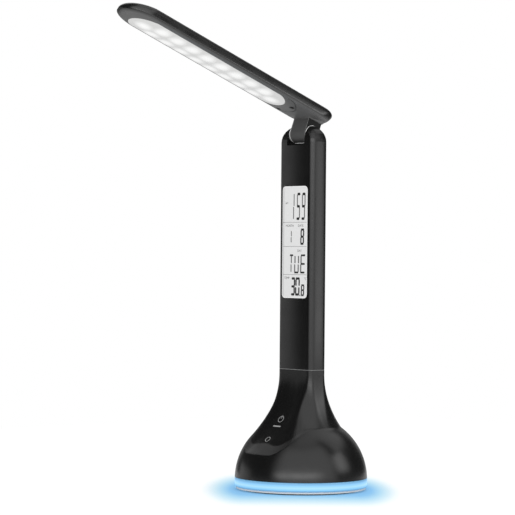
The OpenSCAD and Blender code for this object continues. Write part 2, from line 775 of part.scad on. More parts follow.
stack_r = head_r - 5.5;
heat_t = 1.5;
led_board_t = 1;
led_size = [3.5, 2.8, 0.8];
led_n = roof_n - heat_t - led_board_t - led_size[2] / 2;
module heat_plate() color([0.75, 0.76, 0.78]) in_head()
    capsule_block(stack_r, panel_start, panel_l, roof_n - heat_t, roof_n);

module light_board() color([0.95, 0.95, 0.95]) in_head()
    capsule_block(stack_r - 1, panel_start, panel_l, roof_n - heat_t - led_board_t, roof_n - heat_t);

// Two rows of lights, as many as the panel holds, and a single one on the middle line at each end.
led_count = floor((panel_l - 2 * led_end) / led_pitch) + 1;
panel_mid = panel_start + panel_l / 2;
module head_lights() color([1, 0.93, 0.6]) in_head() translate([0, -panel_mid, led_n]) {
    for (i = [0:led_count - 1], s = [-1, 1])
        translate([s * led_rows / 2, (i - (led_count - 1) / 2) * led_pitch, 0]) cube(led_size, center = true);
    for (s = [-1, 1]) translate([0, s * (panel_l / 2 + led_end), 0]) cube(led_size, center = true);
}

// ---------------------------------------------------------------- assembly

foot_pad();
base_plate();
base_screws();
ballast();
light_ring();
mood_board();
mood_lights();
main_board();
power_inlet();
touch_board();
touch_springs();
base_shell();
column_housing();
column_cover();
column_screws();
display_window();
display_module();
clock_board();
mode_button();
up_button();
down_button();
hinge_shaft();
friction_washers();
shaft_nuts();
neck();
neck_screws();
head_shell();
heat_plate();
light_board();
head_lights();
light_panel();
head_frame();
head_screws();
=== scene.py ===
"""Folding desk lamp with a calendar display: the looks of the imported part.

Units are metres, or millimetres where it is said. The display and the lamp head face -Y, +Z is up, and the
base stands on z = 0.
"""

import json
import logging
import math
from dataclasses import dataclass
from enum import Enum
from functools import partial
from typing import Callable, Mapping, Sequence

import bpy
from mathutils import Matrix, Vector

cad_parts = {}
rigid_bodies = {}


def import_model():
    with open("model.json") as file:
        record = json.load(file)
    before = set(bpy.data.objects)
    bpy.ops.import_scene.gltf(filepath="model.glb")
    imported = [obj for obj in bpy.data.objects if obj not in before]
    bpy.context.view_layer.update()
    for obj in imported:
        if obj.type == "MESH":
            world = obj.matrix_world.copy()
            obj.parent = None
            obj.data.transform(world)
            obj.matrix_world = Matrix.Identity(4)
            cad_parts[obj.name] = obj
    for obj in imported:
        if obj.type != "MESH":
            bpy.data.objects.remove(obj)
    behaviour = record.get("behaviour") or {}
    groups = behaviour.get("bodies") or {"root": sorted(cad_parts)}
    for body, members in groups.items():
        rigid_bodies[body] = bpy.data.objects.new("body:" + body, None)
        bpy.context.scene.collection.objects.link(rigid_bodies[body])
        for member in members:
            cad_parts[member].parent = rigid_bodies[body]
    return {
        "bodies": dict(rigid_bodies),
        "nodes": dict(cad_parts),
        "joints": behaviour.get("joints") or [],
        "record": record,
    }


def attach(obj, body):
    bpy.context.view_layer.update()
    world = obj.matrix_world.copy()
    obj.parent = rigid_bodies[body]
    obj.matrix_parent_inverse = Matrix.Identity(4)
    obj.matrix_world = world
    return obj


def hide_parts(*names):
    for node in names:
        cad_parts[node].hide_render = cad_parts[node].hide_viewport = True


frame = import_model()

log = logging.getLogger("desk_lamp")
MM = 0.001
NEAR = 1e-6

Socket = bpy.types.NodeSocket
Object = bpy.types.Object
Material = bpy.types.Material
Colour = tuple[float, float, float]
Inputs = Mapping[str | int, object]
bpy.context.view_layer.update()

RIGHT, BACK, UP = (1.0, 0.0, 0.0), (0.0, 1.0, 0.0), (0.0, 0.0, 1.0)
HINGE_Z = 319.9
HEAD_TILT = 21.2
HEAD_ALONG = (0.0, -math.cos(math.radians(HEAD_TILT)), math.sin(math.radians(HEAD_TILT)))
HEAD_UP = (0.0, math.sin(math.radians(HEAD_TILT)), math.cos(math.radians(HEAD_TILT)))


@dataclass(frozen=True)
class Crease:
    """The crease round the scoop: its heights in millimetres, and its rise in degrees from the front."""

    low: float = 34.0
    high: float = 56.5
    start: float = 15.0
    end: float = 60.0


CREASE = Crease()


# ---------------------------------------------------------------- node helpers

def srgb(level: float) -> float:
    """Turns a 0 to 255 screen value into a linear one."""
    c = level / 255
    return c / 12.92 if c <= 0.04045 else ((c + 0.055) / 1.055) ** 2.4


def screen(red: float, green: float, blue: float) -> Colour:
    """A linear colour from 0 to 255 screen values."""
    return srgb(red), srgb(green), srgb(blue)


def grey(level: float) -> Colour:
    """A linear grey from a 0 to 255 screen value."""
    return screen(level, level, level)


def facing(azimuth: float) -> Vector:
    """The level direction at an azimuth in degrees, from -Y towards +X."""
    a = math.radians(azimuth)
    return Vector((math.sin(a), -math.cos(a), 0.0))


class Nodes:
    """Adds and links nodes in one tree with short calls."""

    def __init__(self, tree: bpy.types.NodeTree) -> None:
        """Keeps the tree of a material, a world or a group."""
        self.tree = tree

    def feed(self, node: bpy.types.Node, inputs: Inputs) -> None:
        """Fills inputs of a node.

        Args:
            node: the node.
            inputs: for each input, the socket that is linked to it or its value.
        """
        for name, value in inputs.items():
            socket = node.inputs[name]
            if isinstance(value, Socket):
                self.tree.links.new(value, socket)
            else:
                socket.default_value = (*value, 1.0) if socket.type == "RGBA" else value

    def add(self, kind: str, inputs: Inputs | None = None, **settings: object) -> bpy.types.Node:
        """Adds a node.

        Args:
            kind: the node's type name.
            inputs: its inputs, as feed() takes them.
            settings: properties to set on it.

        Returns:
            The new node.
        """
        node = self.tree.nodes.new(kind)
        for name, value in settings.items():
            setattr(node, name, value)
        self.feed(node, inputs or {})
        return node

    def group(self, tree: bpy.types.NodeTree, **inputs: float) -> Mapping[str, Socket]:
        """Adds a node group and gives its outputs."""
        return self.add("ShaderNodeGroup", inputs, node_tree=tree).outputs

    def math(self, operation: str, a: object, b: object = 0.0, clamp: bool = False) -> Socket:
        """Works on sockets or numbers a and b, and can hold the result between 0 and 1."""
        return self.add("ShaderNodeMath", {0: a, 1: b}, operation=operation, use_clamp=clamp).outputs[0]

    def minus(self, a: object, b: object, clamp: bool = False) -> Socket:
        """Takes b from a."""
        return self.math("SUBTRACT", a, b, clamp)

    def times(self, a: object, b: object) -> Socket:
        """Multiplies a by b."""
        return self.math("MULTIPLY", a, b)

    def length(self, a: object, b: object) -> Socket:
        """Length of a vector with the parts a and b."""
        return self.math("SQRT", self.math("ADD", self.times(a, a), self.times(b, b)))

    def dot(self, vector: Socket, direction: Sequence[float]) -> Socket:
        """Measures a vector along a fixed direction."""
        inputs = {0: vector, 1: direction}
        return self.add("ShaderNodeVectorMath", inputs, operation="DOT_PRODUCT").outputs["Value"]

    def place(self) -> Socket:
        """The shaded point in its object's frame."""
        return self.add("ShaderNodeTexCoord").outputs["Object"]

    def along(self, direction: Sequence[float]) -> Socket:
        """Measures the shaded point along a fixed direction."""
        return self.dot(self.place(), direction)

    def across(self) -> Socket:
        """Distance of the shaded point from the lamp's middle plane."""
        return self.math("ABSOLUTE", self.along(RIGHT))

    def from_hinge(self, direction: Sequence[float], start: float = 0.0) -> Socket:
        """Distance from the hinge's axis along a direction of the head, less a start in millimetres."""
        return self.minus(self.along(direction), (direction[2] * HINGE_Z + start) * MM)

    def smooth(self, value: Socket, low: float, high: float) -> Socket:
        """Rises smoothly from 0 at a low value to 1 at a high one."""
        inputs = {"Value": value, "From Min": low, "From Max": high}
        return self.add("ShaderNodeMapRange", inputs, interpolation_type="SMOOTHSTEP").outputs["Result"]

    def turned(self, value: Socket, low: float, high: float) -> Socket:
        """Rises smoothly as an angle goes from a low to a high one, both in degrees."""
        return self.smooth(value, math.radians(low), math.radians(high))

    def noise(self, scale: Socket, detail: float, roughness: float = 0.5) -> Socket:
        """Noise in the object's frame."""
        inputs = {"Vector": self.place(), "Scale": scale, "Detail": detail, "Roughness": roughness}
        return self.add("ShaderNodeTexNoise", inputs).outputs["Fac"]

    def ramp(self, value: Socket, stops: Sequence[tuple[float, Colour]], smooth: bool = False) -> Socket:
        """Adds a colour ramp.

        Args:
            value: what runs along the ramp.
            stops: position and linear colour of each stop.
            smooth: whether the ramp eases between its stops.

        Returns:
            The colour.
        """
        node = self.add("ShaderNodeValToRGB", {0: value})
        node.color_ramp.interpolation = "EASE" if smooth else "LINEAR"
        elements = node.color_ramp.elements
        while len(elements) < len(stops):
            elements.new(0.5)
        for element, (position, colour) in zip(elements, stops):
            element.position = position
            element.color = (*colour, 1.0)
        return node.outputs[0]

    def ease(self, value: Socket, span: tuple[float, float], levels: tuple[float, float]) -> Socket:
        """Goes from one level to another while a value crosses a span."""
        return self.ramp(value, [(stop, (level,) * 3) for stop, level in zip(span, levels)], smooth=True)

    def mix(self, factor: object, a: object, b: object, blend: str = "MIX") -> Socket:
        """Mixes two colours, of which the factor is the second one's share."""
        inputs = {0: factor, 6: a, 7: b}
        return self.add("ShaderNodeMix", inputs, data_type="RGBA", blend_type=blend).outputs[2]


def new_group(name: str, inputs: Mapping[str, float], outputs: Sequence[str]) -> tuple[
        Nodes, Mapping[str, Socket], bpy.types.Node]:
    """Makes a shader node group.

    Args:
        name: the group's name.
        inputs: name and default value of each input.
        outputs: name of each output.

    Returns:
        Its node helper, the sockets of its inputs, and its output node.
    """
    tree = bpy.data.node_groups.new(name, "ShaderNodeTree")
    for label, value in inputs.items():
        socket = tree.interface.new_socket(name=label, in_out="INPUT", socket_type="NodeSocketFloat")
        socket.default_value = value
    for label in outputs:
        tree.interface.new_socket(name=label, in_out="OUTPUT", socket_type="NodeSocketFloat")
    nodes = Nodes(tree)
    return nodes, nodes.add("NodeGroupInput").outputs, nodes.add("NodeGroupOutput")


class SharedEffects:
    """The node groups that more than one finish can use."""

    def __init__(self) -> None:
        """Builds the groups."""
        self.grain, self.dust = self.grain_group(), self.dust_group()
        self.bow, self.painted_sheen = self.bow_group(), self.painted_sheen_group()

    def grain_group(self) -> bpy.types.NodeTree:
        """Builds the fine texture of moulded plastic.

        Returns:
            A group with a height for a bump and a mask for small changes of gloss.
        """
        nodes, start, end = new_group("moulded_grain", {"Scale": 2500.0, "Streak": 60.0}, ["Height", "Gloss"])
        nodes.feed(end, {"Height": nodes.noise(start["Scale"], detail=3.0, roughness=0.6),
                         "Gloss": nodes.noise(start["Streak"], detail=2.0)})
        return nodes.tree

    def dust_group(self) -> bpy.types.NodeTree:
        """Builds the faint dust that lies on faces that look up.

        Returns:
            A group with a mask from 0 to 1.
        """
        nodes, start, end = new_group("settled_dust", {"Scale": 400.0, "Amount": 0.02}, ["Mask"])
        normal = nodes.add("ShaderNodeNewGeometry").outputs["Normal"]
        looks_up = nodes.math("MAXIMUM", nodes.dot(normal, UP))
        patchy = nodes.times(looks_up, nodes.noise(start["Scale"], detail=4.0))
        nodes.feed(end, {"Mask": nodes.math("MULTIPLY", patchy, start["Amount"], clamp=True)})
        return nodes.tree

    def bow_group(self) -> bpy.types.NodeTree:
        """Builds the slight outward bow of the column's moulded faces.

        Returns:
            A group with the bow's height, from its strength on the front and on the sides.
        """
        nodes, start, end = new_group("bowed_faces", {"Front": 0.0, "Side": 0.0}, ["Height"])
        heights = []
        for axis, strength in ((RIGHT, "Front"), (BACK, "Side")):
            place = nodes.along(axis)
            heights.append(nodes.times(nodes.times(place, place), start[strength]))
        nodes.feed(end, {"Height": nodes.minus(0.0, nodes.math("ADD", *heights))})
        return nodes.tree

    def painted_sheen_group(self) -> bpy.types.NodeTree:
        """Builds the painted highlight, a pale crescent on the flare right above the crease round the scoop.

        Returns:
            A group with the crescent's mask, from its greatest width.
        """
        tip, fade_start, fade_end, fade = 62.0, 12.0, 42.0, 0.75
        low_blur, high_blur = 0.0004, 0.0007
        nodes, start, end = new_group("scoop_painted_sheen", {"Width": 0.0095}, ["Mask"])
        turn = nodes.math("ARCTAN2", nodes.across(), nodes.along((0.0, -1.0, 0.0)))
        rise = nodes.times(nodes.turned(turn, CREASE.start, CREASE.end), (CREASE.high - CREASE.low) * MM)
        above = nodes.minus(nodes.along(UP), nodes.math("ADD", rise, CREASE.low * MM))
        width = nodes.times(nodes.minus(1.0, nodes.turned(turn, 0.0, tip)), start["Width"])
        low = nodes.smooth(above, -low_blur, low_blur)
        high = nodes.smooth(nodes.minus(above, width), -high_blur, high_blur)
        faded = nodes.minus(1.0, nodes.times(nodes.turned(turn, fade_start, fade_end), fade))
        nodes.feed(end, {"Mask": nodes.times(nodes.times(low, nodes.minus(1.0, high)), faded)})
        return nodes.tree


# ---------------------------------------------------------------- finishes

class Brush(Nodes):
    """Nodes of a new material, with its shader and the shared groups."""

    def __init__(self, name: str, shared: SharedEffects) -> None:
        """Makes the material.

        Args:
            name: its name.
            shared: the node groups.
        """
        self.made = bpy.data.materials.new(name)
        self.made.use_nodes = True
        super().__init__(self.made.node_tree)
        self.shared = shared

    def shade(self, inputs: Inputs) -> None:
        """Fills inputs of the shader."""
        self.feed(self.tree.nodes["Principled BSDF"], inputs)

    def grain(self, **inputs: float) -> Mapping[str, Socket]:
        """Adds the moulded grain and gives its outputs."""
        return self.group(self.shared.grain, **inputs)


@dataclass(frozen=True)
class Finish:
    """How a material looks."""

    name: str

    def paint(self, brush: Brush) -> None:
        """Fills the shader's inputs."""
        raise NotImplementedError


@dataclass(frozen=True)
class Plastic(Finish):
    """Moulded plastic with fine grain, slight changes of gloss and a little dust.

    Four fields are for single pieces: bow is the bow's strength on the column's front and sides; then the
    grey of a painted highlight above the scoop's crease; where the neck's painted edge highlight and painted
    shade on its sides begin; and the low and high end of the soft change, in millimetres above the hinge, and
    the grey of a painted reflection of the floor on the head's underside.
    """

    colour: Colour
    roughness: float = 0.35
    specular: float = 0.3
    grain: float = 2500.0
    grain_depth: float = 0.0001
    bump: float = 0.03
    dust: float = 0.02
    dust_colour: Colour = (0.5, 0.49, 0.47)
    gloss_change: float = 0.03
    bow: tuple[float, ...] = ()
    painted_sheen: float = 0.0
    painted_side_shade: float = 0.0
    painted_side_shade_bands: tuple[tuple[float, float, float], ...] = ((0.0008, 0.0005, 130.0), (0.0003, 0.0, 10.0))
    under: tuple[float, ...] = ()

    def painted_tint(self, brush: Brush) -> object:
        """Paints highlight, shade and reflection into the colour where a piece has them.

        Args:
            brush: the material's nodes.

        Returns:
            The colour below the dust, a socket or a linear colour.
        """
        colour = self.colour
        # painted highlight: a pale crescent above the scoop's crease
        if self.painted_sheen:
            colour = brush.mix(brush.group(brush.shared.painted_sheen)["Mask"], colour, grey(self.painted_sheen))
        # painted edge highlight and painted shade on the neck: a pale band near each side edge, then black on
        # the side faces
        if self.painted_side_shade:
            for start, end, level in self.painted_side_shade_bands:
                band = brush.smooth(brush.across(), self.painted_side_shade - start, self.painted_side_shade - end)
                colour = brush.mix(band, colour, grey(level))
        # painted reflection of the floor: the shell is grey low down near the underside and fades to black
        # above
        if self.under:
            low, high, level = self.under
            rise = brush.smooth(brush.from_hinge(HEAD_UP), low * MM, high * MM)
            colour = brush.mix(rise, grey(level), colour)
        return colour

    def paint(self, brush: Brush) -> None:
        """Fills the shader's inputs.

        Args:
            brush: the material's nodes.
        """
        grain = brush.grain(Scale=self.grain)
        dust = brush.group(brush.shared.dust, Amount=self.dust)["Mask"]
        gloss = (self.roughness - self.gloss_change, self.roughness + self.gloss_change)
        bump = brush.add("ShaderNodeBump", {"Strength": self.bump, "Distance": self.grain_depth,
                                            "Height": grain["Height"]})
        if self.bow:
            front, side = self.bow
            height = brush.group(brush.shared.bow, Front=front, Side=side)["Height"]
            bowed = brush.add("ShaderNodeBump", {"Distance": 1.0, "Height": height})
            brush.feed(bump, {"Normal": bowed.outputs["Normal"]})
        brush.shade({"Specular IOR Level": self.specular, "Normal": bump.outputs["Normal"],
                     "Roughness": brush.ease(grain["Gloss"], (0.35, 0.65), gloss),
                     "Base Color": brush.mix(dust, self.painted_tint(brush), self.dust_colour)})


@dataclass(frozen=True)
class Metal(Finish):
    """Bare or plated metal with fine scratches."""

    colour: Colour
    roughness: float = 0.35
    change: float = 0.08
    grain: float = 900.0
    worn: float = 0.85

    def paint(self, brush: Brush) -> None:
        """Fills the shader's inputs.

        Args:
            brush: the material's nodes.
        """
        grain = brush.grain(Scale=self.grain)
        gloss = (self.roughness - self.change, self.roughness + self.change)
        worn = tuple(self.worn * c for c in self.colour)
        brush.shade({"Metallic": 1.0, "Roughness": brush.ease(grain["Height"], (0.3, 0.7), gloss),
                     "Base Color": brush.mix(grain["Gloss"], self.colour, worn)})


@dataclass(frozen=True)
class DisplayCover(Finish):
    """Clear cover over the pale display, with the shade of its recess at the sides, in millimetres."""

    colour: Colour
    shade: Colour
    left: float
    right: float
    fade: float
    right_shade: float = 0.4

    def paint(self, brush: Brush) -> None:
        """Fills the shader's inputs.

        Args:
            brush: the material's nodes.
        """
        across = brush.along(RIGHT)
        lit = brush.smooth(across, self.left * MM, (self.left + self.fade) * MM)
        end = brush.smooth(across, (self.right - self.fade / 3) * MM, self.right * MM)
        lit = brush.minus(lit, brush.times(end, self.right_shade), clamp=True)
        gloss = brush.ease(brush.grain()["Gloss"], (0.3, 0.7), (0.2, 0.28))
        brush.shade({"Specular IOR Level": 0.3, "Roughness": gloss,
                     "Base Color": brush.mix(lit, self.shade, self.colour)})


@dataclass(frozen=True)
class Lit(Finish):
    """Milky plastic that is lit from behind, with the stops of its light and two tones."""

    light: tuple[tuple[float, Colour], ...]
    deep: Colour
    pale: Colour
    roughness: float
    streak: float = 60.0

    def share(self, brush: Brush) -> Socket:
        """Where the shaded point lies on the ramp of the light."""
        raise NotImplementedError

    def paint(self, brush: Brush) -> None:
        """Fills the shader's inputs.

        Args:
            brush: the material's nodes.
        """
        gloss = brush.grain(Streak=self.streak)["Gloss"]
        brush.shade({"Roughness": self.roughness, "Emission Strength": 1.0,
                     "Emission Color": brush.ramp(self.share(brush), self.light),
                     "Base Color": brush.mix(gloss, self.deep, self.pale)})


@dataclass(frozen=True)
class LitRing(Lit):
    """The base's ring, darker towards both its edges."""

    low: float = 0.0030
    high: float = 0.0113

    def share(self, brush: Brush) -> Socket:
        """The share of the ring's height that lies below the shaded point."""
        above = brush.minus(brush.along(UP), self.low)
        return brush.math("DIVIDE", above, self.high - self.low, clamp=True)


@dataclass(frozen=True)
class LitPanel(Lit):
    """The head's diffuser, with soft spots where the lights sit behind it. Sizes are in millimetres."""

    middle: float = 124.2
    pitch: float = 17.5
    row: float = 8.0
    rows_half: float = 70.0
    end: float = 76.0
    spot: float = 9.5
    spot_rise: float = 1.6

    def spot_mask(self, brush: Brush, distance: Socket) -> Socket:
        """A soft mask that is 1 at a light, from the distance to it."""
        near = brush.minus(1.0, brush.math("DIVIDE", distance, self.spot * MM, clamp=True), clamp=True)
        return brush.math("SMOOTH_MIN", brush.times(near, self.spot_rise), 1.0)

    def share(self, brush: Brush) -> Socket:
        """Adds the two rows of spots, and the spot at each end.

        Args:
            brush: the material's nodes.

        Returns:
            A mask that is 1 at the lights.
        """
        along, across, half = brush.from_hinge(HEAD_ALONG, self.middle), brush.across(), self.pitch / 2 * MM
        from_middle = brush.math("ABSOLUTE", along)
        inside = brush.math("LESS_THAN", from_middle, self.rows_half * MM)
        to_row = brush.length(brush.minus(half, brush.math("PINGPONG", along, half)),
                              brush.minus(across, self.row * MM))
        to_end = brush.length(brush.minus(from_middle, self.end * MM), across)
        rows = brush.times(self.spot_mask(brush, to_row), inside)
        return brush.math("ADD", rows, self.spot_mask(brush, to_end), clamp=True)


class Paints:
    """Gives each finish's material, and builds it only once."""

    def __init__(self) -> None:
        """Builds the shared node groups."""
        self.shared = SharedEffects()
        self.made: dict[str, Material] = {}

    def give(self, finish: Finish) -> Material:
        """Gives the material of a finish.

        Args:
            finish: the finish.

        Returns:
            The material.
        """
        if finish.name not in self.made:
            brush = Brush(finish.name, self.shared)
            finish.paint(brush)
            self.made[finish.name] = brush.made
        return self.made[finish.name]


# ---------------------------------------------------------------- modelling helpers

class Body(Enum):
    """The lamp's moving bodies."""

    BASE = "base"
    HEAD = "head"


class Cut(Enum):
    """What a boolean modifier does with its tool."""

    LESS = "DIFFERENCE"
    COMMON = "INTERSECT"
    PLUS = "UNION"


def at(x: float, y: float, z: float) -> Matrix:
    """A move in millimetres."""
    return Matrix.Translation((x * MM, y * MM, z * MM))


def spin(degrees: float, axis: str) -> Matrix:
    """A turn about an axis."""
    return Matrix.Rotation(math.radians(degrees), 4, axis)


def polar(radius: float, turn: float, z: float) -> tuple[float, float, float]:
    """A point from its distance from the Z axis, its direction in radians from the front and its height."""
    return radius * math.sin(turn), -radius * math.cos(turn), z


def coat(piece: Object, material: Material) -> None:
    """Gives a piece one material."""
    piece.data.materials.clear()
    piece.data.materials.append(material)


def pick(*pieces: Object) -> None:
    """Selects only these pieces and makes the first one active.

    Args:
        pieces: the objects to select.
    """
    bpy.ops.object.select_all(action="DESELECT")
    for piece in pieces:
        piece.select_set(True)
    if pieces:
        bpy.context.view_layer.objects.active = pieces[0]


def settle(piece: Object, place: Matrix) -> Object:
    """Moves a piece to its place and applies it, so that its object stands at the origin.

    Args:
        piece: the object.
        place: where it goes.

    Returns:
        The piece.
    """
    piece.matrix_world = place
    pick(piece)
    bpy.ops.object.transform_apply(location=True, rotation=True, scale=True)
    return piece


def reshape(piece: Object, *steps: Callable[[], object]) -> Object:
    """Runs mesh operators on a whole piece.

    Args:
        piece: the mesh object.
        steps: the operators' calls, before each of which everything is selected.

    Returns:
        The piece.
    """
    pick(piece)
    bpy.ops.object.mode_set(mode="EDIT")
    for step in steps:
        bpy.ops.mesh.select_all(action="SELECT")
        step()
    bpy.ops.object.mode_set(mode="OBJECT")
    return piece


def reshape_part(piece: Object, wanted: Callable[[Vector], bool], step: Callable[[], object]) -> None:
    """Runs a mesh operator on some of a piece's vertices.

    Args:
        piece: the mesh object.
        wanted: says by a vertex's place whether it takes part.
        step: the operator's call.
    """
    pick(piece)
    bpy.ops.object.mode_set(mode="EDIT")
    bpy.ops.mesh.select_mode(type="VERT")
    bpy.ops.mesh.select_all(action="DESELECT")
    bpy.ops.object.mode_set(mode="OBJECT")
    for vertex in piece.data.vertices:
        vertex.select = wanted(vertex.co)
    bpy.ops.object.mode_set(mode="EDIT")
    step()
    bpy.ops.object.mode_set(mode="OBJECT")


def stretch(piece: Object, wanted: Callable[[Vector], bool], by: Sequence[float]) -> None:
    """Moves the wanted ones of a piece's vertices by millimetres."""
    reshape_part(piece, wanted, partial(bpy.ops.transform.translate, value=[c * MM for c in by]))


def cylinder(name: str, radius: float, low: float, high: float, sides: int = 64) -> Object:
    """Adds an upright cylinder on the Z axis. Sizes are in millimetres.

    Args:
        name: the object's name.
        radius: its radius.
        low: height of its lower face.
        high: height of its upper face.
        sides: number of its sides.

    Returns:
        The cylinder.
    """
    pick()
    bpy.ops.mesh.primitive_cylinder_add(vertices=sides, radius=radius * MM, depth=(high - low) * MM)
    bpy.context.object.name = name
    return settle(bpy.context.object, at(0.0, 0.0, (low + high) / 2))


def capsule(name: str, radius: float, start: float, length: float, low: float, high: float) -> Object:
    """Makes an upright block whose outline has two round ends, on the Y axis. Sizes are in millimetres.

    Args:
        name: the object's name.
        radius: half its width.
        start: distance of the first round end's centre from the origin, towards -Y.
        length: distance between the centres of the round ends.
        low: height of its lower face.
        high: height of its upper face.

    Returns:
        The block.
    """
    piece = cylinder(name, radius, low, high, 96)
    stretch(piece, lambda place: place.y < -NEAR, (0.0, -length, 0.0))
    return settle(piece, at(0.0, -start, 0.0))


def combine(piece: Object, tool: Object, cut: Cut = Cut.LESS) -> Object:
    """Cuts a piece with a tool, or joins the two.

    Args:
        piece: the mesh that is changed.
        tool: the mesh that it is cut with, which is used up.
        cut: what is done.

    Returns:
        The piece.
    """
    pick(piece)
    bpy.ops.object.modifier_add(type="BOOLEAN")
    modifier = piece.modifiers[-1]
    modifier.operation, modifier.solver, modifier.object = cut.value, "EXACT", tool
    bpy.ops.object.modifier_apply(modifier=modifier.name)
    bpy.data.objects.remove(tool)
    return piece


def new_object(name: str, data: bpy.types.ID) -> Object:
    """Adds an object to the scene.

    Args:
        name: its name.
        data: its mesh, camera or light.

    Returns:
        The object.
    """
    made = bpy.data.objects.new(name, data)
    bpy.context.scene.collection.objects.link(made)
    return made


def join(name: str, pieces: Sequence[Object]) -> Object:
    """Joins several pieces into one.

    Args:
        name: the joined piece's name.
        pieces: the pieces, which are used up.

    Returns:
        The joined piece.
    """
    pick(*pieces)
    bpy.ops.object.join()
    bpy.context.object.name = name
    return bpy.context.object


def ring_faces(rows: int, count: int, closed: bool = True) -> list[tuple[int, ...]]:
    """The faces between rows of points that each run round once.

    Args:
        rows: number of the rows.
        count: number of points in a row.
        closed: whether the last row meets the first one.

    Returns:
        The indices of each face's points.
    """
    faces = []
    for row in range(rows if closed else rows - 1):
        here, above = row * count, (row + 1) % rows * count
        for k in range(count):
            after = (k + 1) % count
            faces.append((here + k, here + after, above + after, above + k))
    return faces


def skin(name: str, points: Sequence[Sequence[float]], faces: Sequence[Sequence[int]]) -> Object:
    """Makes a piece whose curved surface comes from a formula, which no operator can give.

    Args:
        name: the object's name.
        points: its points in millimetres.
        faces: the indices of each face's points.

    Returns:
        The piece, with its faces outwards.
    """
    mesh = bpy.data.meshes.new(name)
    mesh.from_pydata([[c * MM for c in point] for point in points], [], faces)
    return reshape(new_object(name, mesh), partial(bpy.ops.mesh.normals_make_consistent, inside=False))


def dress(piece: Object, body: Body, material: Material, nodes: Sequence[str] = (),
          edge_angle: float = 30.0) -> None:
    """Gives a finished piece its shading, material and body.

    Args:
        piece: the object.
        body: the body it rides on.
        material: its material.
        nodes: the nodes of the model that it stands for.
        edge_angle: edges sharper than this, in degrees, stay sharp.
    """
    pick(piece)
    bpy.ops.object.shade_smooth_by_angle(angle=math.radians(edge_angle))
    coat(piece, material)
    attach(piece, body.value)
    if nodes:
        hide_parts(*nodes)
    log.info("%s: %d faces", piece.name, len(piece.data.polygons))


# ---------------------------------------------------------------- base

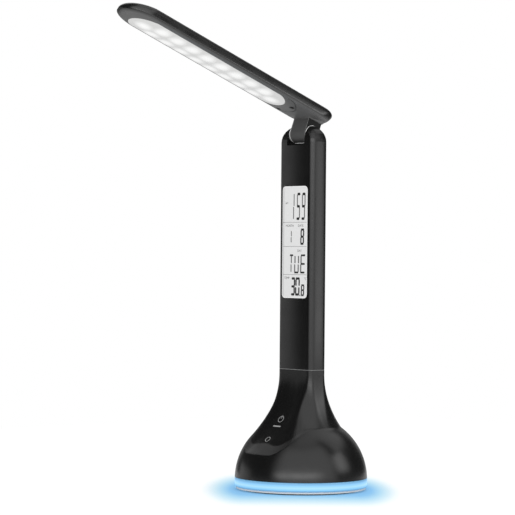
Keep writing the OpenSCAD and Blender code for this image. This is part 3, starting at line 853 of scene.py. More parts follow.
@dataclass
class BaseShell:
    """The dome with its scoop, which flares up into the column. Sizes are in millimetres."""

    radius: float = 59.6
    dome_h: float = 58.0
    dome_z: float = 10.0
    bottom: float = 11.3
    wall: float = 2.6
    seam: float = 108.0
    flare_drop: float = 4.0
    flare_power: float = 2.0
    column_w: float = 44.8
    column_d: float = 19.5
    column_corner: float = 4.5
    inlet_r: float = 4.35
    inlet_z: float = 21.3
    line_in: float = 0.02
    line_t: float = 0.45
    line_h: float = 0.3
    line_z: float = 0.1
    low_rows: int = 22
    high_rows: int = 44
    below_crease: float = 0.985
    above_crease: float = 1.012
    front_lines: int = 24
    corner_lines: int = 14
    side_lines: int = 6

    def dome_radius(self, z: float) -> float:
        """Radius of the dome at a height."""
        return self.radius * math.sqrt(1 - ((z - self.dome_z) / self.dome_h) ** 2)

    def column_radius(self, turn: float, width: float, depth: float, corner: float) -> float:
        """Distance from the axis to the outline of a rounded rectangle.

        Args:
            turn: direction in radians, 0 at the front.
            width: the outline's width.
            depth: the outline's depth.
            corner: the radius of its corners.

        Returns:
            The distance.
        """
        s, c = abs(math.sin(turn)), abs(math.cos(turn))
        flat_x, flat_y = width / 2 - corner, depth / 2 - corner
        if depth / 2 * s <= flat_x * c:
            return depth / 2 / c
        if width / 2 * c <= flat_y * s:
            return width / 2 / s
        m = flat_x * s + flat_y * c
        return m + math.sqrt(m * m - flat_x ** 2 - flat_y ** 2 + corner ** 2)

    def crease_height(self, turn: float) -> float:
        """Height of the crease in a direction: low over the scoop, high elsewhere.

        Args:
            turn: direction in radians from the front.

        Returns:
            The height.
        """
        share = (math.degrees(turn) - CREASE.start) / (CREASE.end - CREASE.start)
        share = min(1.0, max(0.0, share))
        return CREASE.low + (CREASE.high - CREASE.low) * share * share * (3 - 2 * share)

    def surface_radius(self, turn: float, z: float) -> float:
        """Radius of the shell's outside.

        Args:
            turn: direction in radians from the front, 0 to pi.
            z: height.

        Returns:
            The radius.
        """
        crease = self.crease_height(turn)
        if z <= crease:
            return self.dome_radius(z)
        flare = self.seam - self.flare_drop
        g = max(0.0, (flare - z) / (flare - crease)) ** self.flare_power
        r = self.dome_radius(crease)
        return self.column_radius(turn, self.column_w + (2 * r - self.column_w) * g,
                                  self.column_d + (2 * r - self.column_d) * g,
                                  self.column_corner + (r - self.column_corner) * g)

    def turns(self) -> list[float]:
        """Directions of the upright lines, close together at the column's corners.

        Returns:
            Directions in radians over the full turn.
        """
        arc_x, arc_y = self.column_w / 2 - self.column_corner, self.column_d / 2 - self.column_corner
        first = math.atan2(arc_x, self.column_d / 2)
        quarter = [first * i / self.front_lines for i in range(self.front_lines)]
        for i in range(self.corner_lines + 1):
            p = math.radians(90 * i / self.corner_lines)
            quarter.append(math.atan2(arc_x + self.column_corner * math.sin(p),
                                      arc_y + self.column_corner * math.cos(p)))
        last = quarter[-1]
        quarter += [last + (math.pi / 2 - last) * i / self.side_lines for i in range(1, self.side_lines)]
        half = quarter + [math.pi / 2] + [math.pi - t for t in reversed(quarter)][:-1]
        return half + [math.pi + t for t in half]

    def levels(self) -> list[float]:
        """Rows from 0 at the bottom over 1 at the crease to 2 at the seam, closer at the crease.

        Returns:
            The rows' places.
        """
        low, high = range(self.low_rows), range(1, self.high_rows + 1)
        return [*(i / self.low_rows for i in low), self.below_crease, self.above_crease,
                *(1 + i / self.high_rows for i in high)]

    def build(self) -> Object:
        """Makes the shell as one closed skin with a hole for the power inlet.

        Returns:
            The shell.
        """
        turns, levels = self.turns(), self.levels()
        points = []
        for wall, rows in ((0.0, levels), (self.wall, levels[::-1])):
            for t in rows:
                for turn in turns:
                    side = min(turn, 2 * math.pi - turn)
                    crease = self.crease_height(side)
                    z = (self.bottom + (crease - self.bottom) * t if t <= 1
                         else crease + (self.seam - crease) * (t - 1))
                    points.append(polar(self.surface_radius(side, z) - wall, turn, z))
        shell = skin("base_dome", points, ring_faces(2 * len(levels), len(turns)))
        drill = cylinder("inlet_drill", self.inlet_r, 0.0, self.radius)
        return combine(shell, settle(drill, at(0.0, self.radius / 2, self.inlet_z) @ spin(-90, "X")))

    def seam_highlight(self) -> Object:
        """Makes the painted highlight along the seam, a fine pale line where the column meets the shell.

        Returns:
            The line.
        """
        turns, low, high = self.turns(), self.seam + self.line_z, self.seam + self.line_z + self.line_h
        points = []
        for inset, z in ((self.line_in, low), (self.line_in, high), (self.line_t, high), (self.line_t, low)):
            for turn in turns:
                r = self.column_radius(turn, self.column_w - 2 * inset, self.column_d - 2 * inset,
                                       self.column_corner - inset)
                points.append(polar(r, turn, z))
        return skin("seam_highlight", points, ring_faces(4, len(turns)))

    def front_place(self, z: float, lift: float) -> Matrix:
        """Place of a mark on the front of the flare, with its face along the surface.

        Args:
            z: height of the mark's centre.
            lift: how far it stands off the surface.

        Returns:
            A matrix whose X runs to the right, Y up the surface and Z out of it.
        """
        here, above = self.surface_radius(0.0, z), self.surface_radius(0.0, z + 1.0)
        right, up = Vector(RIGHT), Vector((0.0, here - above, 1.0)).normalized()
        out = right.cross(up)
        place = Matrix((right, up, out)).transposed().to_4x4()
        place.translation = (Vector((0.0, -here, z)) + out * lift) * MM
        return place


@dataclass
class TouchMarks:
    """The printed marks of the three touch keys. Sizes are in millimetres."""

    power_z: float = 64.1
    bar_z: float = 58.0
    ring_z: float = 46.8
    power_r: float = 3.3
    ring_r: float = 2.8
    line: float = 0.5
    gap: float = 0.7
    stroke_l: float = 3.63
    stroke_y: float = 2.475
    bar_l: float = 10.0
    bar_w: float = 1.3
    thick: float = 0.06
    lift: float = 0.02

    def ring(self, name: str, radius: float) -> Object:
        """A flat ring with an outer radius."""
        mark = cylinder(name, radius, 0.0, self.thick, 48)
        return combine(mark, cylinder("ring_hole", radius - self.line, -1.0, 1.0, 48))

    def stroke(self, name: str, length: float, width: float) -> Object:
        """A flat stroke along Y with round ends, of a whole length and a width."""
        return capsule(name, width / 2, -(length - width) / 2, length - width, 0.0, self.thick)

    def build(self, shell: BaseShell) -> list[Object]:
        """Makes the three marks on the front of the flare.

        Args:
            shell: the base shell that they are printed on.

        Returns:
            The marks.
        """
        power = self.ring("power_ring", self.power_r)
        gap = cylinder("power_gap", self.gap, -1.0, 1.0, 4)
        combine(power, settle(gap, at(0.0, self.power_r - self.line / 2, 0.0)))
        line = self.stroke("power_line", self.stroke_l, self.line)
        mark_power = join("mark_power", [power, settle(line, at(0.0, self.stroke_y, 0.0))])
        mark_bar = settle(self.stroke("mark_bar", self.bar_l, self.bar_w), spin(90, "Z"))
        mark_ring = self.ring("mark_ring", self.ring_r)
        marks = {self.power_z: mark_power, self.bar_z: mark_bar, self.ring_z: mark_ring}
        return [settle(mark, shell.front_place(z, self.lift)) for z, mark in marks.items()]


# ---------------------------------------------------------------- display

SEGMENTS = {
    "0": "abcdef", "1": "bc", "3": "abcdg", "5": "acdfg", "8": "abcdefg", "9": "abcdfg",
    "T": "aij", "U": "bcdef", "E": "adefg", ".": "p",
}


class Tone(Enum):
    """How dark a segment of the display is."""

    DARK = "dark"
    PALE = "pale"


@dataclass(frozen=True)
class Figure:
    """Figures on the display, with the widths and tones of their upright and level bars. Millimetres."""

    text: str
    left: float
    foot: float
    width: float
    height: float
    pitch: float
    upright: float
    level: float
    upright_tone: Tone = Tone.DARK
    level_tone: Tone = Tone.DARK


@dataclass(frozen=True)
class Label:
    """One small word on the display, in millimetres."""

    text: str
    left: float
    foot: float
    height: float = 2.2


@dataclass
class DisplayFace:
    """What the display shows, as thin pieces on its cover. Sizes are in millimetres."""

    front: float = 9.76
    slant: float = 0.05
    thick: float = 0.05
    centre_z: float = 222.6
    half_w: float = 16.9
    half_h: float = 50.2
    corner: float = 3.4
    edge: float = 0.7
    bar_gap: float = 0.5
    letter_size: float = 1.35
    figures: tuple[Figure, ...] = (
        Figure("1", -6.3, 242.5, 4.6, 24.4, 7.0, 1.05, 1.1, Tone.PALE),
        Figure("59", 1.7, 242.5, 4.7, 24.4, 6.85, 1.15, 2.3, Tone.PALE),
        Figure("1", -7.6, 221.6, 3.0, 11.8, 4.0, 1.0, 1.0, Tone.PALE),
        Figure("8", 7.4, 220.2, 4.9, 14.6, 5.0, 1.5, 1.9),
        Figure("T", -7.6, 194.6, 5.2, 17.0, 6.0, 1.2, 1.6, Tone.PALE),
        Figure("U", -0.7, 194.6, 6.2, 17.0, 6.0, 1.4, 1.6, Tone.PALE),
        Figure("E", 7.5, 194.6, 6.4, 17.0, 6.0, 1.5, 1.6, Tone.PALE),
        Figure("3", -4.8, 174.6, 5.2, 16.4, 5.2, 1.7, 2.1),
        Figure("0", 0.8, 174.6, 6.0, 16.4, 5.2, 1.7, 2.1),
        Figure("8", 8.7, 174.4, 4.5, 10.4, 5.0, 1.35, 1.5),
        Figure(".", 7.0, 174.4, 1.2, 1.2, 1.0, 1.3, 1.3),
    )
    labels: tuple[Label, ...] = (
        Label("MONTH", -12.6, 236.4), Label("DATE", 4.2, 236.4), Label("DAY", 3.6, 213.9),
        Label("TEMP", -14.0, 189.4), Label("AM", -13.2, 256.8, 1.9), Label("°C", 12.9, 188.6, 2.6),
    )
    rules: tuple[float, ...] = (240.425, 218.725, 193.425)
    rule_left: float = -16.4
    rule_right: float = 16.2
    rule_t: float = 0.25

    def place(self, x: float, z: float) -> Matrix:
        """Where a flat mark stands on the display's cover, facing -Y."""
        return at(x, -self.front, z) @ spin(90, "X")

    def bar(self, length: float, width: float) -> Object:
        """A flat six-sided bar along X, centred on the origin.

        Args:
            length: its whole length.
            width: its width.

        Returns:
            The bar.
        """
        corner = width / math.sqrt(3)
        piece = settle(cylinder("bar", corner, 0.0, self.thick, 6), spin(30, "Z"))
        for side in (-1, 1):
            stretch(piece, lambda place, s=side: place.x * s > NEAR, (side * (length / 2 - corner), 0.0, 0.0))
        return piece

    def figure(self, spec: Figure) -> list[tuple[Tone, Object]]:
        """Sets a line of figures from bars.

        Args:
            spec: the line.

        Returns:
            The bars, each with its tone.
        """
        w, half, foot = spec.width - spec.upright, (spec.height - spec.level) / 2, spec.level / 2
        level = self.bar(spec.width - self.bar_gap, spec.level)
        upright = settle(self.bar(half - spec.level / 2, spec.upright), spin(90, "Z"))
        point = cylinder("point", spec.upright / 2, 0.0, self.thick, 12)
        spots = {"a": (level, 0.5, 2.0), "g": (level, 0.5, 1.0), "d": (level, 0.5, 0.0),
                 "f": (upright, 0.0, 1.5), "i": (upright, 0.5, 1.5), "b": (upright, 1.0, 1.5),
                 "e": (upright, 0.0, 0.5), "j": (upright, 0.5, 0.5), "c": (upright, 1.0, 0.5),
                 "p": (point, 0.0, 0.0)}
        made = []
        for number, sign in enumerate(spec.text):
            left = spec.left + spec.upright / 2 + number * spec.pitch
            for segment in SEGMENTS[sign]:
                source, side, row = spots[segment]
                x, y = side * w, foot + row * half
                bar = settle(new_object("segment", source.data.copy()),
                             self.place(left + x + self.slant * y, spec.foot + y))
                made.append((spec.level_tone if source is level else spec.upright_tone, bar))
        for source in (level, upright, point):
            bpy.data.objects.remove(source)
        return made

    def word(self, label: Label) -> Object:
        """Sets a small word.

        Args:
            label: the word.

        Returns:
            The word as a mesh.
        """
        pick()
        bpy.ops.object.text_add()
        text = bpy.context.object.data
        text.body, text.size = label.text, label.height * self.letter_size * MM
        text.extrude = self.thick / 2 * MM
        bpy.ops.object.convert(target="MESH")
        return settle(bpy.context.object, self.place(label.left, label.foot))

    def rule(self, z: float) -> Object:
        """A thin line between two parts of the display, at a height."""
        middle = (self.rule_left + self.rule_right) / 2
        return settle(self.bar(self.rule_right - self.rule_left, self.rule_t), self.place(middle, z))

    def hollow(self) -> None:
        """Leaves only the rim of the selected face."""
        bpy.ops.mesh.inset(thickness=self.edge * MM)
        bpy.ops.mesh.delete(type="FACE")

    def edge_highlight(self) -> Object:
        """Makes the painted highlight, a pale line that runs round the inside of the cover's edge.

        Returns:
            The line.
        """
        pick()
        bpy.ops.mesh.primitive_plane_add(size=2 * MM)
        piece = bpy.context.object
        piece.name = "display_edge_highlight"
        settle(piece, Matrix.Diagonal((self.half_w, self.half_h, 1.0, 1.0)))
        thicken = {"value": (0.0, 0.0, self.thick * MM)}
        reshape(piece, partial(bpy.ops.mesh.bevel, offset=self.corner * MM, segments=8, affect="VERTICES"),
                self.hollow, partial(bpy.ops.mesh.extrude_region_move, TRANSFORM_OT_translate=thicken),
                partial(bpy.ops.mesh.normals_make_consistent, inside=False))
        return settle(piece, self.place(0.0, self.centre_z))

    def build(self) -> tuple[Object, Object, Object]:
        """Makes everything that the display shows.

        Returns:
            The dark figures, the paler figures, words and lines, and the painted edge highlight.
        """
        bars = [bar for spec in self.figures for bar in self.figure(spec)]
        dark = [piece for tone, piece in bars if tone is Tone.DARK]
        pale = [piece for tone, piece in bars if tone is Tone.PALE]
        pale.extend(self.word(label) for label in self.labels)
        pale.extend(self.rule(z) for z in self.rules)
        edge_highlight = self.edge_highlight()
        return join("display_figures", dark), join("display_words", pale), edge_highlight


# ---------------------------------------------------------------- head

@dataclass
class HeadForm:
    """The head's form in its own frame, in millimetres.

    The hinge's axis is at the origin, the free end lies along -Y and the upper side along +Z.
    """

    half_w: float = 20.5
    thick: float = 14.5
    length: float = 206.6
    belly: float = 12.3
    waist_h: float = 6.0
    belly_power: float = 2.4
    top_power: float = 4.5
    toe_low: float = 17.0
    toe_high: float = 7.3
    heel_low: float = 11.0
    first: float = 4.0
    last: float = 84.0
    levels: int = 26
    arc: int = 40
    straight: tuple[float, ...] = (0.02, 0.06, 0.14, 0.3, 0.5, 0.7, 0.86, 0.94, 0.98)

    @property
    def waist(self) -> float:
        """Height of the widest line."""
        return self.belly + self.waist_h

    @property
    def top(self) -> float:
        """Height of the upper side."""
        return self.belly + self.thick

    def place(self) -> Matrix:
        """Where the head's frame stands at rest."""
        return at(0.0, 0.0, HINGE_Z) @ spin(-HEAD_TILT, "X")

    def toe(self, n: float) -> float:
        """Distance of the free end's centre from the hinge axis at a height."""
        low, high = (self.waist - n) / self.waist_h, (n - self.waist) / (self.thick - self.waist_h)
        return self.length - (self.toe_low * low * low if low > 0 else self.toe_high * high * high)

    def heel(self, n: float) -> float:
        """Distance of the hinge end's centre from the hinge axis at a height."""
        return self.heel_low * ((self.top - n) / self.thick) ** 2

    def outline(self, turn: float, inset: float) -> tuple[float, float]:
        """Height and half width of one level.

        Args:
            turn: 0 in the middle of the underside, 90 at the widest line, 180 in the middle of the top.
            inset: how far the form is set in from the outside.

        Returns:
            The height and the half width.
        """
        c, s = math.cos(math.radians(turn)), math.sin(math.radians(turn))
        if turn <= 90:
            return (self.waist - (self.waist_h - inset) * max(c, 0.0) ** (2 / self.belly_power),
                    (self.half_w - inset) * s ** (2 / self.belly_power))
        return (self.waist + (self.thick - self.waist_h - inset) * (-c) ** (2 / self.top_power),
                (self.half_w - inset) * s ** (2 / self.top_power))

    def build(self, name: str, inset: float = 0.0) -> Object:
        """Makes the form as a closed skin.

        Args:
            name: the object's name.
            inset: how far it is set in from the outside.

        Returns:
            The form.
        """
        turns = [self.first] + [90 * i / self.levels for i in range(2, self.levels + 1)]
        turns += [90 + self.last * i / self.levels for i in range(1, self.levels + 1)]
        arc = [math.pi * i / self.arc for i in range(self.arc + 1)]
        points = []
        for turn in turns:
            n, w = self.outline(turn, inset)
            toe, heel = self.toe(n), self.heel(n)
            points += [(w * math.cos(a), -toe - w * math.sin(a), n) for a in arc]
            points += [(-w, -toe + (toe - heel) * t, n) for t in self.straight]
            points += [(-w * math.cos(a), -heel + w * math.sin(a), n) for a in arc]
            points += [(w, -heel - (toe - heel) * t, n) for t in self.straight]
        count = len(points) // len(turns)
        ends = [tuple(range(count)), tuple(range(len(points) - count, len(points)))]
        return skin(name, points, ring_faces(len(turns), count, closed=False) + ends)


@dataclass
class LampHead:
    """The head's upper shell, lower frame and light panel. Sizes are in millimetres."""

    form: HeadForm
    wall: float = 1.8
    lip: float = 2.0
    fit: float = 0.04
    edge_rise: float = 2.3
    roof_t: float = 2.6
    frame_t: float = 1.8
    frame_w: float = 1.0
    panel_start: float = 53.2
    free_band: float = 10.4
    panel_sink: float = 0.4
    panel_t: float = 1.2
    neck_w: float = 21.0
    barrel_r: float = 7.6
    collar: float = 0.8
    spread: float = 2.5
    fairing_h: float = 2.4
    fairing_in: float = 0.8
    fairing_round: float = 1.2
    cover_start: float = 40.0
    groove: float = 0.9
    screw_x: float = 9.0
    screw_u: float = 29.0
    screw_hole_r: float = 2.35
    screw_sink: float = 1.6

    def __post_init__(self) -> None:
        """Works out the sizes that others need.

        inner_r is half the width of the opening in the upper shell, frame_top the height up to which the
        lower frame reaches, panel_l the distance between the centres of the panel's round ends, and beyond
        a radius that reaches past the head on all sides.
        """
        self.inner_r: float = self.form.half_w - self.lip
        self.frame_top: float = self.form.belly + self.edge_rise + self.frame_t
        self.panel_l: float = self.form.length - self.free_band - self.panel_start
        self.beyond: float = 3 * self.form.half_w

    def shell(self) -> Object:
        """Makes the upper shell.

        Returns:
            The shell, in the head's frame.
        """
        form = self.form
        shell, inside = form.build("head_top"), form.build("inside", self.wall)
        combine(inside, capsule("roof", self.beyond, 0.0, form.length, form.top - self.roof_t, form.top + 10))
        mouth = capsule("mouth", self.inner_r, 0.0, form.toe(self.frame_top), 0.0, self.frame_top)
        return combine(combine(shell, inside), mouth)

    def fairing(self) -> Object:
        """Makes the frustum that leads from the underside to the neck.

        Returns:
            The fairing.
        """
        low = self.form.belly + self.edge_rise - self.fairing_h
        high = self.frame_top - self.fairing_in
        half_x, half_y = self.neck_w / 2 + self.collar, self.barrel_r + self.collar
        grow = self.spread - self.collar
        pick()
        bpy.ops.mesh.primitive_cube_add(size=2 * MM)
        block = bpy.context.object
        block.name = "fairing"
        size = Matrix.Diagonal((half_x, half_y, (high - low) / 2, 1.0))
        settle(block, at(0.0, 0.0, (low + high) / 2) @ size)
        reshape_part(block, lambda place: place.z > (low + high) / 2 * MM,
                     partial(bpy.ops.transform.resize, center_override=(0.0, 0.0, high * MM),
                             value=((half_x + grow) / half_x, (half_y + grow) / half_y, 1.0)))
        ease = partial(bpy.ops.mesh.bevel, offset=self.fairing_round * MM, segments=5, affect="EDGES")
        return reshape(block, ease)

    def cover_groove(self) -> Object:
        """Makes the groove that ends the lower cover, as a tool.

        Returns:
            The tool.
        """
        waist, start = self.form.waist, self.cover_start
        groove = capsule("groove", self.inner_r, start, self.panel_l, 0.0, waist)
        combine(groove, capsule("core", self.inner_r - self.groove, start, self.panel_l, -1.0, waist + 1))
        combine(groove, self.form.build("floor", self.groove))
        front = capsule("front", self.beyond, start + self.beyond, self.form.length, -2.0, waist + 2)
        return combine(groove, front)

    def frame(self) -> Object:
        """Makes the lower frame with its groove, screw holes and fairing.

        Returns:
            The frame, in the head's frame.
        """
        form, top = self.form, self.frame_top
        frame = form.build("head_underside")
        combine(frame, form.build("inside", self.frame_t))
        combine(frame, capsule("edge", self.inner_r - self.fit, 0.0, form.toe(top), 0.0, top), Cut.COMMON)
        combine(frame, self.fairing(), Cut.PLUS)
        combine(frame, capsule("opening", self.inner_r - self.frame_w, self.panel_start, self.panel_l,
                               0.0, top + 1))
        combine(frame, self.cover_groove())
        for side in (-1, 1):
            hole = cylinder("hole", self.screw_hole_r, 0.0, form.belly + self.screw_sink, 32)
            combine(frame, settle(hole, at(side * self.screw_x, -self.screw_u, 0.0)))
        return frame

    def panel(self) -> Object:
        """Makes the milky light panel, flush with the underside.

        Returns:
            The panel, in the head's frame.
        """
        panel = self.form.build("light_diffuser", self.panel_sink)
        combine(panel, self.form.build("inside", self.frame_t + self.panel_t))
        edge = capsule("edge", self.inner_r - self.frame_w - self.fit, self.panel_start, self.panel_l,
                       0.0, self.form.waist)
        return combine(panel, edge, Cut.COMMON)

    def build(self) -> list[Object]:
        """Makes the upper shell, the lower frame and the light panel in place."""
        return [settle(piece, self.form.place()) for piece in (self.shell(), self.frame(), self.panel())]


# ---------------------------------------------------------------- hinge

@dataclass
class HingeHighlight:
    """Painted highlights of the neck's barrel: pale friction washers and a pale line under the neck. Sizes
    are in millimetres.
    """

    neck_w: float = 21.0
    neck_gap: float = 1.25
    radius: float = 7.5
    hole_r: float = 2.55
    thick: float = 0.9
    ease: float = 0.15
    highlight_line_r: float = 0.28
    highlight_line_y: float = -0.7
    highlight_line_z: float = -7.92
    highlight_line_end: float = 7.6

    def washer(self, side: int) -> Object:
        """Makes a washer with eased edges, whose pale colour is a painted highlight.

        Args:
            side: -1 for the left one, 1 for the right one.

        Returns:
            The washer.
        """
        washer = cylinder("washer", self.radius, -self.thick / 2, self.thick / 2, 72)
        reshape(washer, partial(bpy.ops.mesh.bevel, offset=self.ease * MM, segments=2, affect="EDGES"))
        combine(washer, cylinder("washer_hole", self.hole_r, -1.0, 1.0, 32))
        return settle(washer, at(side * (self.neck_w + self.neck_gap) / 2, 0.0, HINGE_Z) @ spin(90, "Y"))

    def highlight_line(self) -> Object:
        """Makes the painted highlight line, a thin rod from the left washer to its end."""
        highlight_line = cylinder("hinge_highlight_line", self.highlight_line_r, -(self.neck_w + self.neck_gap) / 2, self.highlight_line_end, 16)
        return settle(highlight_line, at(0.0, self.highlight_line_y, HINGE_Z + self.highlight_line_z) @ spin(90, "Y"))

    def build(self) -> tuple[Object, Object]:
        """Makes the pair of washers and the highlight line."""
        return join("washer_pair", [self.washer(-1), self.washer(1)]), self.highlight_line()


# ---------------------------------------------------------------- studio

@dataclass(frozen=True)
class SoftWindow:
    """A bright part of the room that the lamp is mirrored in. Angles are in degrees."""

    azimuth: float
    half: float
    edge: float
    low: float
    high: float
    fade: float
    level: float


@dataclass(frozen=True)
class SoftBox:
    """A soft light with its place, size, power in watts and target."""

    name: str
    place: tuple[float, float, float]
    size: tuple[float, float]
    power: float
    mirrored: bool = False
    target: tuple[float, float, float] = (0.0, 0.0, 0.2)


@dataclass
class Studio:
    """Camera, floor, world and lamps."""

    azimuth: float = 50.0
    distance: float = 2.092
    height: float = 0.2085
    aside: float = 0.0408
    roll: float = 0.5
    focal_px: float = 2322.0
    frame_px: float = 515.0
    sensor: float = 36.0
    floor_half: float = 0.75
    glow_half_w: float = 0.05
    glow_flat: float = 0.25
    glow_reach: float = 0.041
    floor_share: float = 0.45
    floor_bright: float = 1.02
    floor_mirrored: float = 0.2
    fill: float = 1.0
    dim: float = 0.06
    glow: tuple[tuple[float, Colour], ...] = (
        (0.0, screen(128, 182, 226)), (0.33, screen(146, 200, 240)), (0.5, screen(180, 221, 244)),
        (0.67, screen(212, 236, 247)), (0.84, screen(241, 249, 253)), (1.0, (1.0, 1.0, 1.0)))
    windows: tuple[SoftWindow, ...] = tuple(SoftWindow(*row) for row in (
        (-68.0, 18.0, 8.0, -14.0, 8.0, 4.0, 0.62),
        (45.0, 38.0, 14.0, 5.0, 13.0, 3.0, 3.4),
        (58.0, 56.0, 14.0, -50.0, 62.0, 12.0, 1.25),
        (134.0, 18.0, 4.0, -14.0, -2.5, 1.5, 1.5),
        (126.0, 11.0, 3.0, 14.0, 36.0, 5.0, 1.0),
        (160.0, 28.0, 10.0, 36.0, 66.0, 8.0, 1.0),
        (120.0, 105.0, 20.0, 66.0, 120.0, 8.0, 0.9),
        (-125.0, 24.0, 14.0, 22.0, 50.0, 8.0, 0.45),
        (230.0, 28.0, 6.0, -90.0, 50.0, 10.0, 0.25),
    ))
    boxes: tuple[SoftBox, ...] = (
        SoftBox("soft_box_top", (0.9, -0.6, 2.4), (1.4, 1.4), 8.0),
        SoftBox("soft_box_side", (0.3886, 0.3147, 0.2375), (0.21, 0.275), 0.26, True, (0.0, 0.0, 0.2375)),
        SoftBox("soft_box_front", (1.6, -2.1, 0.25), (0.9, 0.5), 13.0),
    )

    def camera(self) -> None:
        """Makes the camera at the photograph's viewing angle."""
        back, right, up = facing(self.azimuth), facing(self.azimuth + 90), Vector(UP)
        data = bpy.data.cameras.new("camera")
        data.sensor_width = self.sensor
        data.lens = self.focal_px / self.frame_px * self.sensor
        data.clip_start, data.clip_end = 0.05, 50.0
        camera = new_object("camera", data)
        camera.location = back * self.distance - right * self.aside + up * self.height
        turn = Matrix((right, up, back)).transposed() @ Matrix.Rotation(math.radians(self.roll), 3, "Z")
        camera.rotation_mode = "QUATERNION"
        camera.rotation_quaternion = turn.to_quaternion()
        bpy.context.scene.camera = camera

    def rays(self, nodes: Nodes) -> tuple[Socket, Socket]:
        """Tells which rays are looked at.

        Args:
            nodes: the tree that the node is added to.

        Returns:
            A socket that is 1 for mirrored rays, and one for those straight from the camera or through glass.
        """
        path = nodes.add("ShaderNodeLightPath").outputs
        straight = nodes.math("MAXIMUM", path["Is Camera Ray"], path["Is Transmission Ray"])
        return path["Is Glossy Ray"], straight

    def floor(self) -> None:
        """Makes the pale floor, which keeps the lamp's shadow and the ring's blue light.

        Straight rays see it lit evenly, and mirrored ones see a share of that.
        """
        pick()
        bpy.ops.mesh.primitive_plane_add(size=2 * self.floor_half, location=(0, 0, 0))
        floor = bpy.context.object
        floor.name = "floor"
        made = bpy.data.materials.new("studio_floor")
        made.use_nodes = True
        made.cycles.emission_sampling = "NONE"
        nodes = Nodes(made.node_tree)
        made.node_tree.nodes.remove(made.node_tree.nodes["Principled BSDF"])
        across = nodes.math("ABSOLUTE", nodes.along(facing(self.azimuth + 90)))
        side = nodes.math("MAXIMUM", nodes.minus(across, self.glow_half_w))
        deep = nodes.times(nodes.along(facing(self.azimuth + 180)), self.glow_flat)
        reach = nodes.math("DIVIDE", nodes.length(side, deep), self.glow_reach, clamp=True)
        painted_tint = nodes.ramp(reach, self.glow)
        mirrored, straight = self.rays(nodes)
        seen = nodes.math("MAXIMUM", straight, nodes.times(mirrored, self.floor_mirrored))
        matt = nodes.mix(1.0, painted_tint, (self.floor_share,) * 3, "MULTIPLY")
        diffuse = nodes.add("ShaderNodeBsdfDiffuse", {"Color": matt})
        strength = nodes.times(seen, self.floor_bright - self.floor_share)
        glow = nodes.add("ShaderNodeEmission", {"Color": painted_tint, "Strength": strength})
        both = nodes.add("ShaderNodeAddShader", {0: diffuse.outputs[0], 1: glow.outputs[0]})
        nodes.feed(made.node_tree.nodes["Material Output"], {"Surface": both.outputs[0]})
        coat(floor, made)

    def window(self, nodes: Nodes, direction: Socket, window: SoftWindow) -> Socket:
        """Adds one bright part of the room.

        Args:
            nodes: the tree that it is added to.
            direction: the direction that is looked in.
            window: the part of the room.

        Returns:
            Its brightness in that direction.
        """
        level = nodes.add("ShaderNodeVectorMath", {0: direction, 1: (1.0, 1.0, 0.0)}, operation="MULTIPLY")
        flat = nodes.add("ShaderNodeVectorMath", {0: level.outputs[0]}, operation="NORMALIZE").outputs[0]
        turn = nodes.math("ARCCOSINE", nodes.dot(flat, facing(window.azimuth)))
        height = nodes.math("ARCSINE", nodes.dot(direction, UP))
        beside, above, below = (
            nodes.turned(angle, middle - fade, middle + fade)
            for angle, middle, fade in ((turn, window.half, window.edge), (height, window.high, window.fade),
                                        (height, window.low, window.fade)))
        return nodes.times(nodes.times(nodes.minus(1.0, beside), nodes.minus(below, above)), window.level)

    def world(self) -> None:
        """Lights the scene softly from all around, and shows white behind the lamp.

        Mirrored rays see a dim room with soft windows.
        """
        world = bpy.data.worlds.new("studio")
        world.use_nodes = True
        world.cycles.sampling_method = "NONE"
        bpy.context.scene.world = world
        nodes = Nodes(world.node_tree)
        direction = nodes.add("ShaderNodeTexCoord").outputs["Generated"]
        room = self.dim
        for window in self.windows:
            room = nodes.math("ADD", room, self.window(nodes, direction, window))
        mirrored, straight = self.rays(nodes)
        lit = nodes.mix(mirrored, (self.fill,) * 3, room)
        nodes.feed(world.node_tree.nodes["Background"], {"Color": nodes.mix(straight, lit, (1.0, 1.0, 1.0))})

    def lamp(self, box: SoftBox) -> None:
        """Adds one soft box that looks at its target.

        Args:
            box: the soft box.
        """
        data = bpy.data.lights.new(box.name, "AREA")
        data.shape, data.energy = "RECTANGLE", box.power
        data.size, data.size_y = box.size
        light = new_object(box.name, data)
        light.location = box.place
        light.rotation_mode = "QUATERNION"
        light.rotation_quaternion = (Vector(box.target) - Vector(box.place)).to_track_quat("-Z", "Y")
        light.visible_glossy, light.visible_camera = box.mirrored, False

    def build(self) -> None:
        """Makes the whole studio."""
        self.camera()
        self.floor()
        self.world()
        for box in self.boxes:
            self.lamp(box)
        bpy.context.scene.view_settings.view_transform = "Standard"


# ---------------------------------------------------------------- finishes of the nodes

GLOSS = {"roughness": 0.24, "specular": 0.5, "bump": 0.02, "dust": 0.004}
BLACK = Plastic("black_gloss_plastic", grey(12), **GLOSS)
COLUMN = Plastic("black_bowed_plastic", grey(12), **GLOSS, bow=(3.0, 12.0))
# the dome's pale crescent above the scoop's crease is a painted highlight
DOME = Plastic("black_dome_plastic", grey(12), **GLOSS, painted_sheen=54)
# the shell's grey lower edge is a painted reflection of the floor
SHELL = Plastic("black_high_gloss_plastic", grey(12), roughness=0.26, specular=0.75, bump=0.02, dust=0.004,
                under=(14.6, 17.8, 104.0))
SATIN = Plastic("black_satin_plastic", grey(16), roughness=0.34, specular=0.5, dust=0.006)
# the neck's pale side edges and black side faces are a painted highlight and painted shade
NECK = Plastic("dark_satin_plastic", grey(74), roughness=0.45, specular=0.2, dust=0.006, painted_side_shade=0.0103)
# the frame's mid grey is painted light: the floor's reflection and the panel's light spilling onto it
FRAME = Plastic("frame_plastic_painted_light", grey(100), roughness=0.4, specular=0.5, dust=0.006)
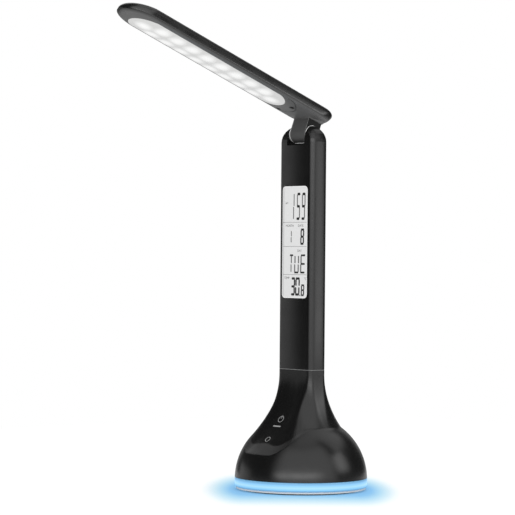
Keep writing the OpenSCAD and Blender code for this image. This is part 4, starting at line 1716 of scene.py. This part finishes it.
# pale finish for the painted highlights at the hinge
HINGE_HIGHLIGHT = Plastic("hinge_painted_highlight", grey(236), roughness=0.3, specular=0.8, dust=0.0)
# painted highlight round the display cover's edge
DISPLAY_HIGHLIGHT = Plastic("display_painted_edge_highlight", grey(240), roughness=0.3, specular=0.4)
RIM = Plastic("rim_plastic", grey(232), roughness=0.4, specular=0.5)
RUBBER = Plastic("foam_rubber", grey(45), roughness=0.9, specular=0.2, grain=1200.0, bump=0.4)
LAMINATE = Plastic("green_laminate", (0.02, 0.12, 0.05))
MILKY = Plastic("milky_plastic", grey(238), specular=0.5)
# painted highlight along the seam
SEAM_HIGHLIGHT = Plastic("seam_painted_highlight", grey(150), roughness=0.4)
INK = Plastic("key_ink", grey(150), roughness=0.5)
FIGURE = Plastic("display_figure", grey(30), roughness=0.4)
WORD = Plastic("display_word", grey(96), roughness=0.4)
RING = LitRing("lit_ring_plastic", (
    (0.0, screen(70, 128, 172)), (0.1, screen(80, 140, 184)), (0.24, screen(110, 178, 220)),
    (0.42, screen(150, 196, 226)), (0.62, screen(118, 180, 222)), (0.84, screen(70, 136, 182)),
    (1.0, screen(64, 122, 160))), (0.14, 0.24, 0.32), (0.18, 0.28, 0.35), 0.3, streak=25.0)
PANEL = LitPanel("lit_panel_plastic", ((0.0, grey(158)), (0.5, grey(182)), (1.0, grey(206))),
                 (0.42, 0.42, 0.41), (0.46, 0.46, 0.45), 0.35)
CLEAR = DisplayCover("display_face", grey(227), grey(168), -18.0, 17.6, 4.6)
STEEL = Metal("plated_steel", (0.5, 0.5, 0.52))
BLACK_SCREW = Metal("blackened_steel", (0.03, 0.03, 0.03), roughness=0.5)
ALUMINIUM = Metal("aluminium", (0.75, 0.76, 0.78))
CONTACT = Metal("contact_brass", (0.7, 0.55, 0.28))

FINISHED_NODES = (
    (STEEL, "base_screws ballast column_screws hinge_shaft friction_washers shaft_nuts neck_screws"),
    (LAMINATE, "mood_board main_board touch_board clock_board"),
    (MILKY, "mood_lights display_module light_board head_lights light_panel"),
    (SATIN, "power_inlet mode_button up_button down_button"),
    (RUBBER, "foot_pad"), (RIM, "base_plate"), (RING, "light_ring"), (CONTACT, "touch_springs"),
    (DOME, "base_shell"), (COLUMN, "column_housing"), (BLACK, "column_cover"), (CLEAR, "display_window"),
    (NECK, "neck"), (SHELL, "head_shell"), (ALUMINIUM, "heat_plate"), (FRAME, "head_frame"),
    (BLACK_SCREW, "head_screws"),
)


def main() -> None:
    """Builds the lamp's looks."""
    paints = Paints()
    for finish, names in FINISHED_NODES:
        for name in names.split():
            coat(frame["nodes"][name], paints.give(finish))
        log.info("%s: %s", finish.name, names)
    shell = BaseShell()
    dress(shell.build(), Body.BASE, paints.give(DOME), ["base_shell"])
    # pale ring as a painted highlight along the seam
    dress(shell.seam_highlight(), Body.BASE, paints.give(SEAM_HIGHLIGHT))
    for mark in TouchMarks().build(shell):
        dress(mark, Body.BASE, paints.give(INK))
    figures, words, edge_highlight = DisplayFace().build()
    # the cover's pale edge line is a painted highlight
    for piece, finish in ((edge_highlight, DISPLAY_HIGHLIGHT), (figures, FIGURE), (words, WORD)):
        dress(piece, Body.BASE, paints.give(finish))
    upper, lower, panel = LampHead(HeadForm()).build()
    dress(upper, Body.HEAD, paints.give(SHELL), ["head_shell"], 40.0)
    dress(lower, Body.HEAD, paints.give(FRAME), ["head_frame"], 40.0)
    dress(panel, Body.HEAD, paints.give(PANEL), ["light_panel"], 40.0)
    # pale washers and a thin pale line under the neck: painted highlights
    washers, highlight_line = HingeHighlight().build()
    dress(washers, Body.BASE, paints.give(HINGE_HIGHLIGHT), ["friction_washers"])
    dress(highlight_line, Body.BASE, paints.give(HINGE_HIGHLIGHT))
    Studio().build()


if __name__ == "__main__":
    logging.basicConfig(level=logging.INFO, format="%(message)s")
    main()
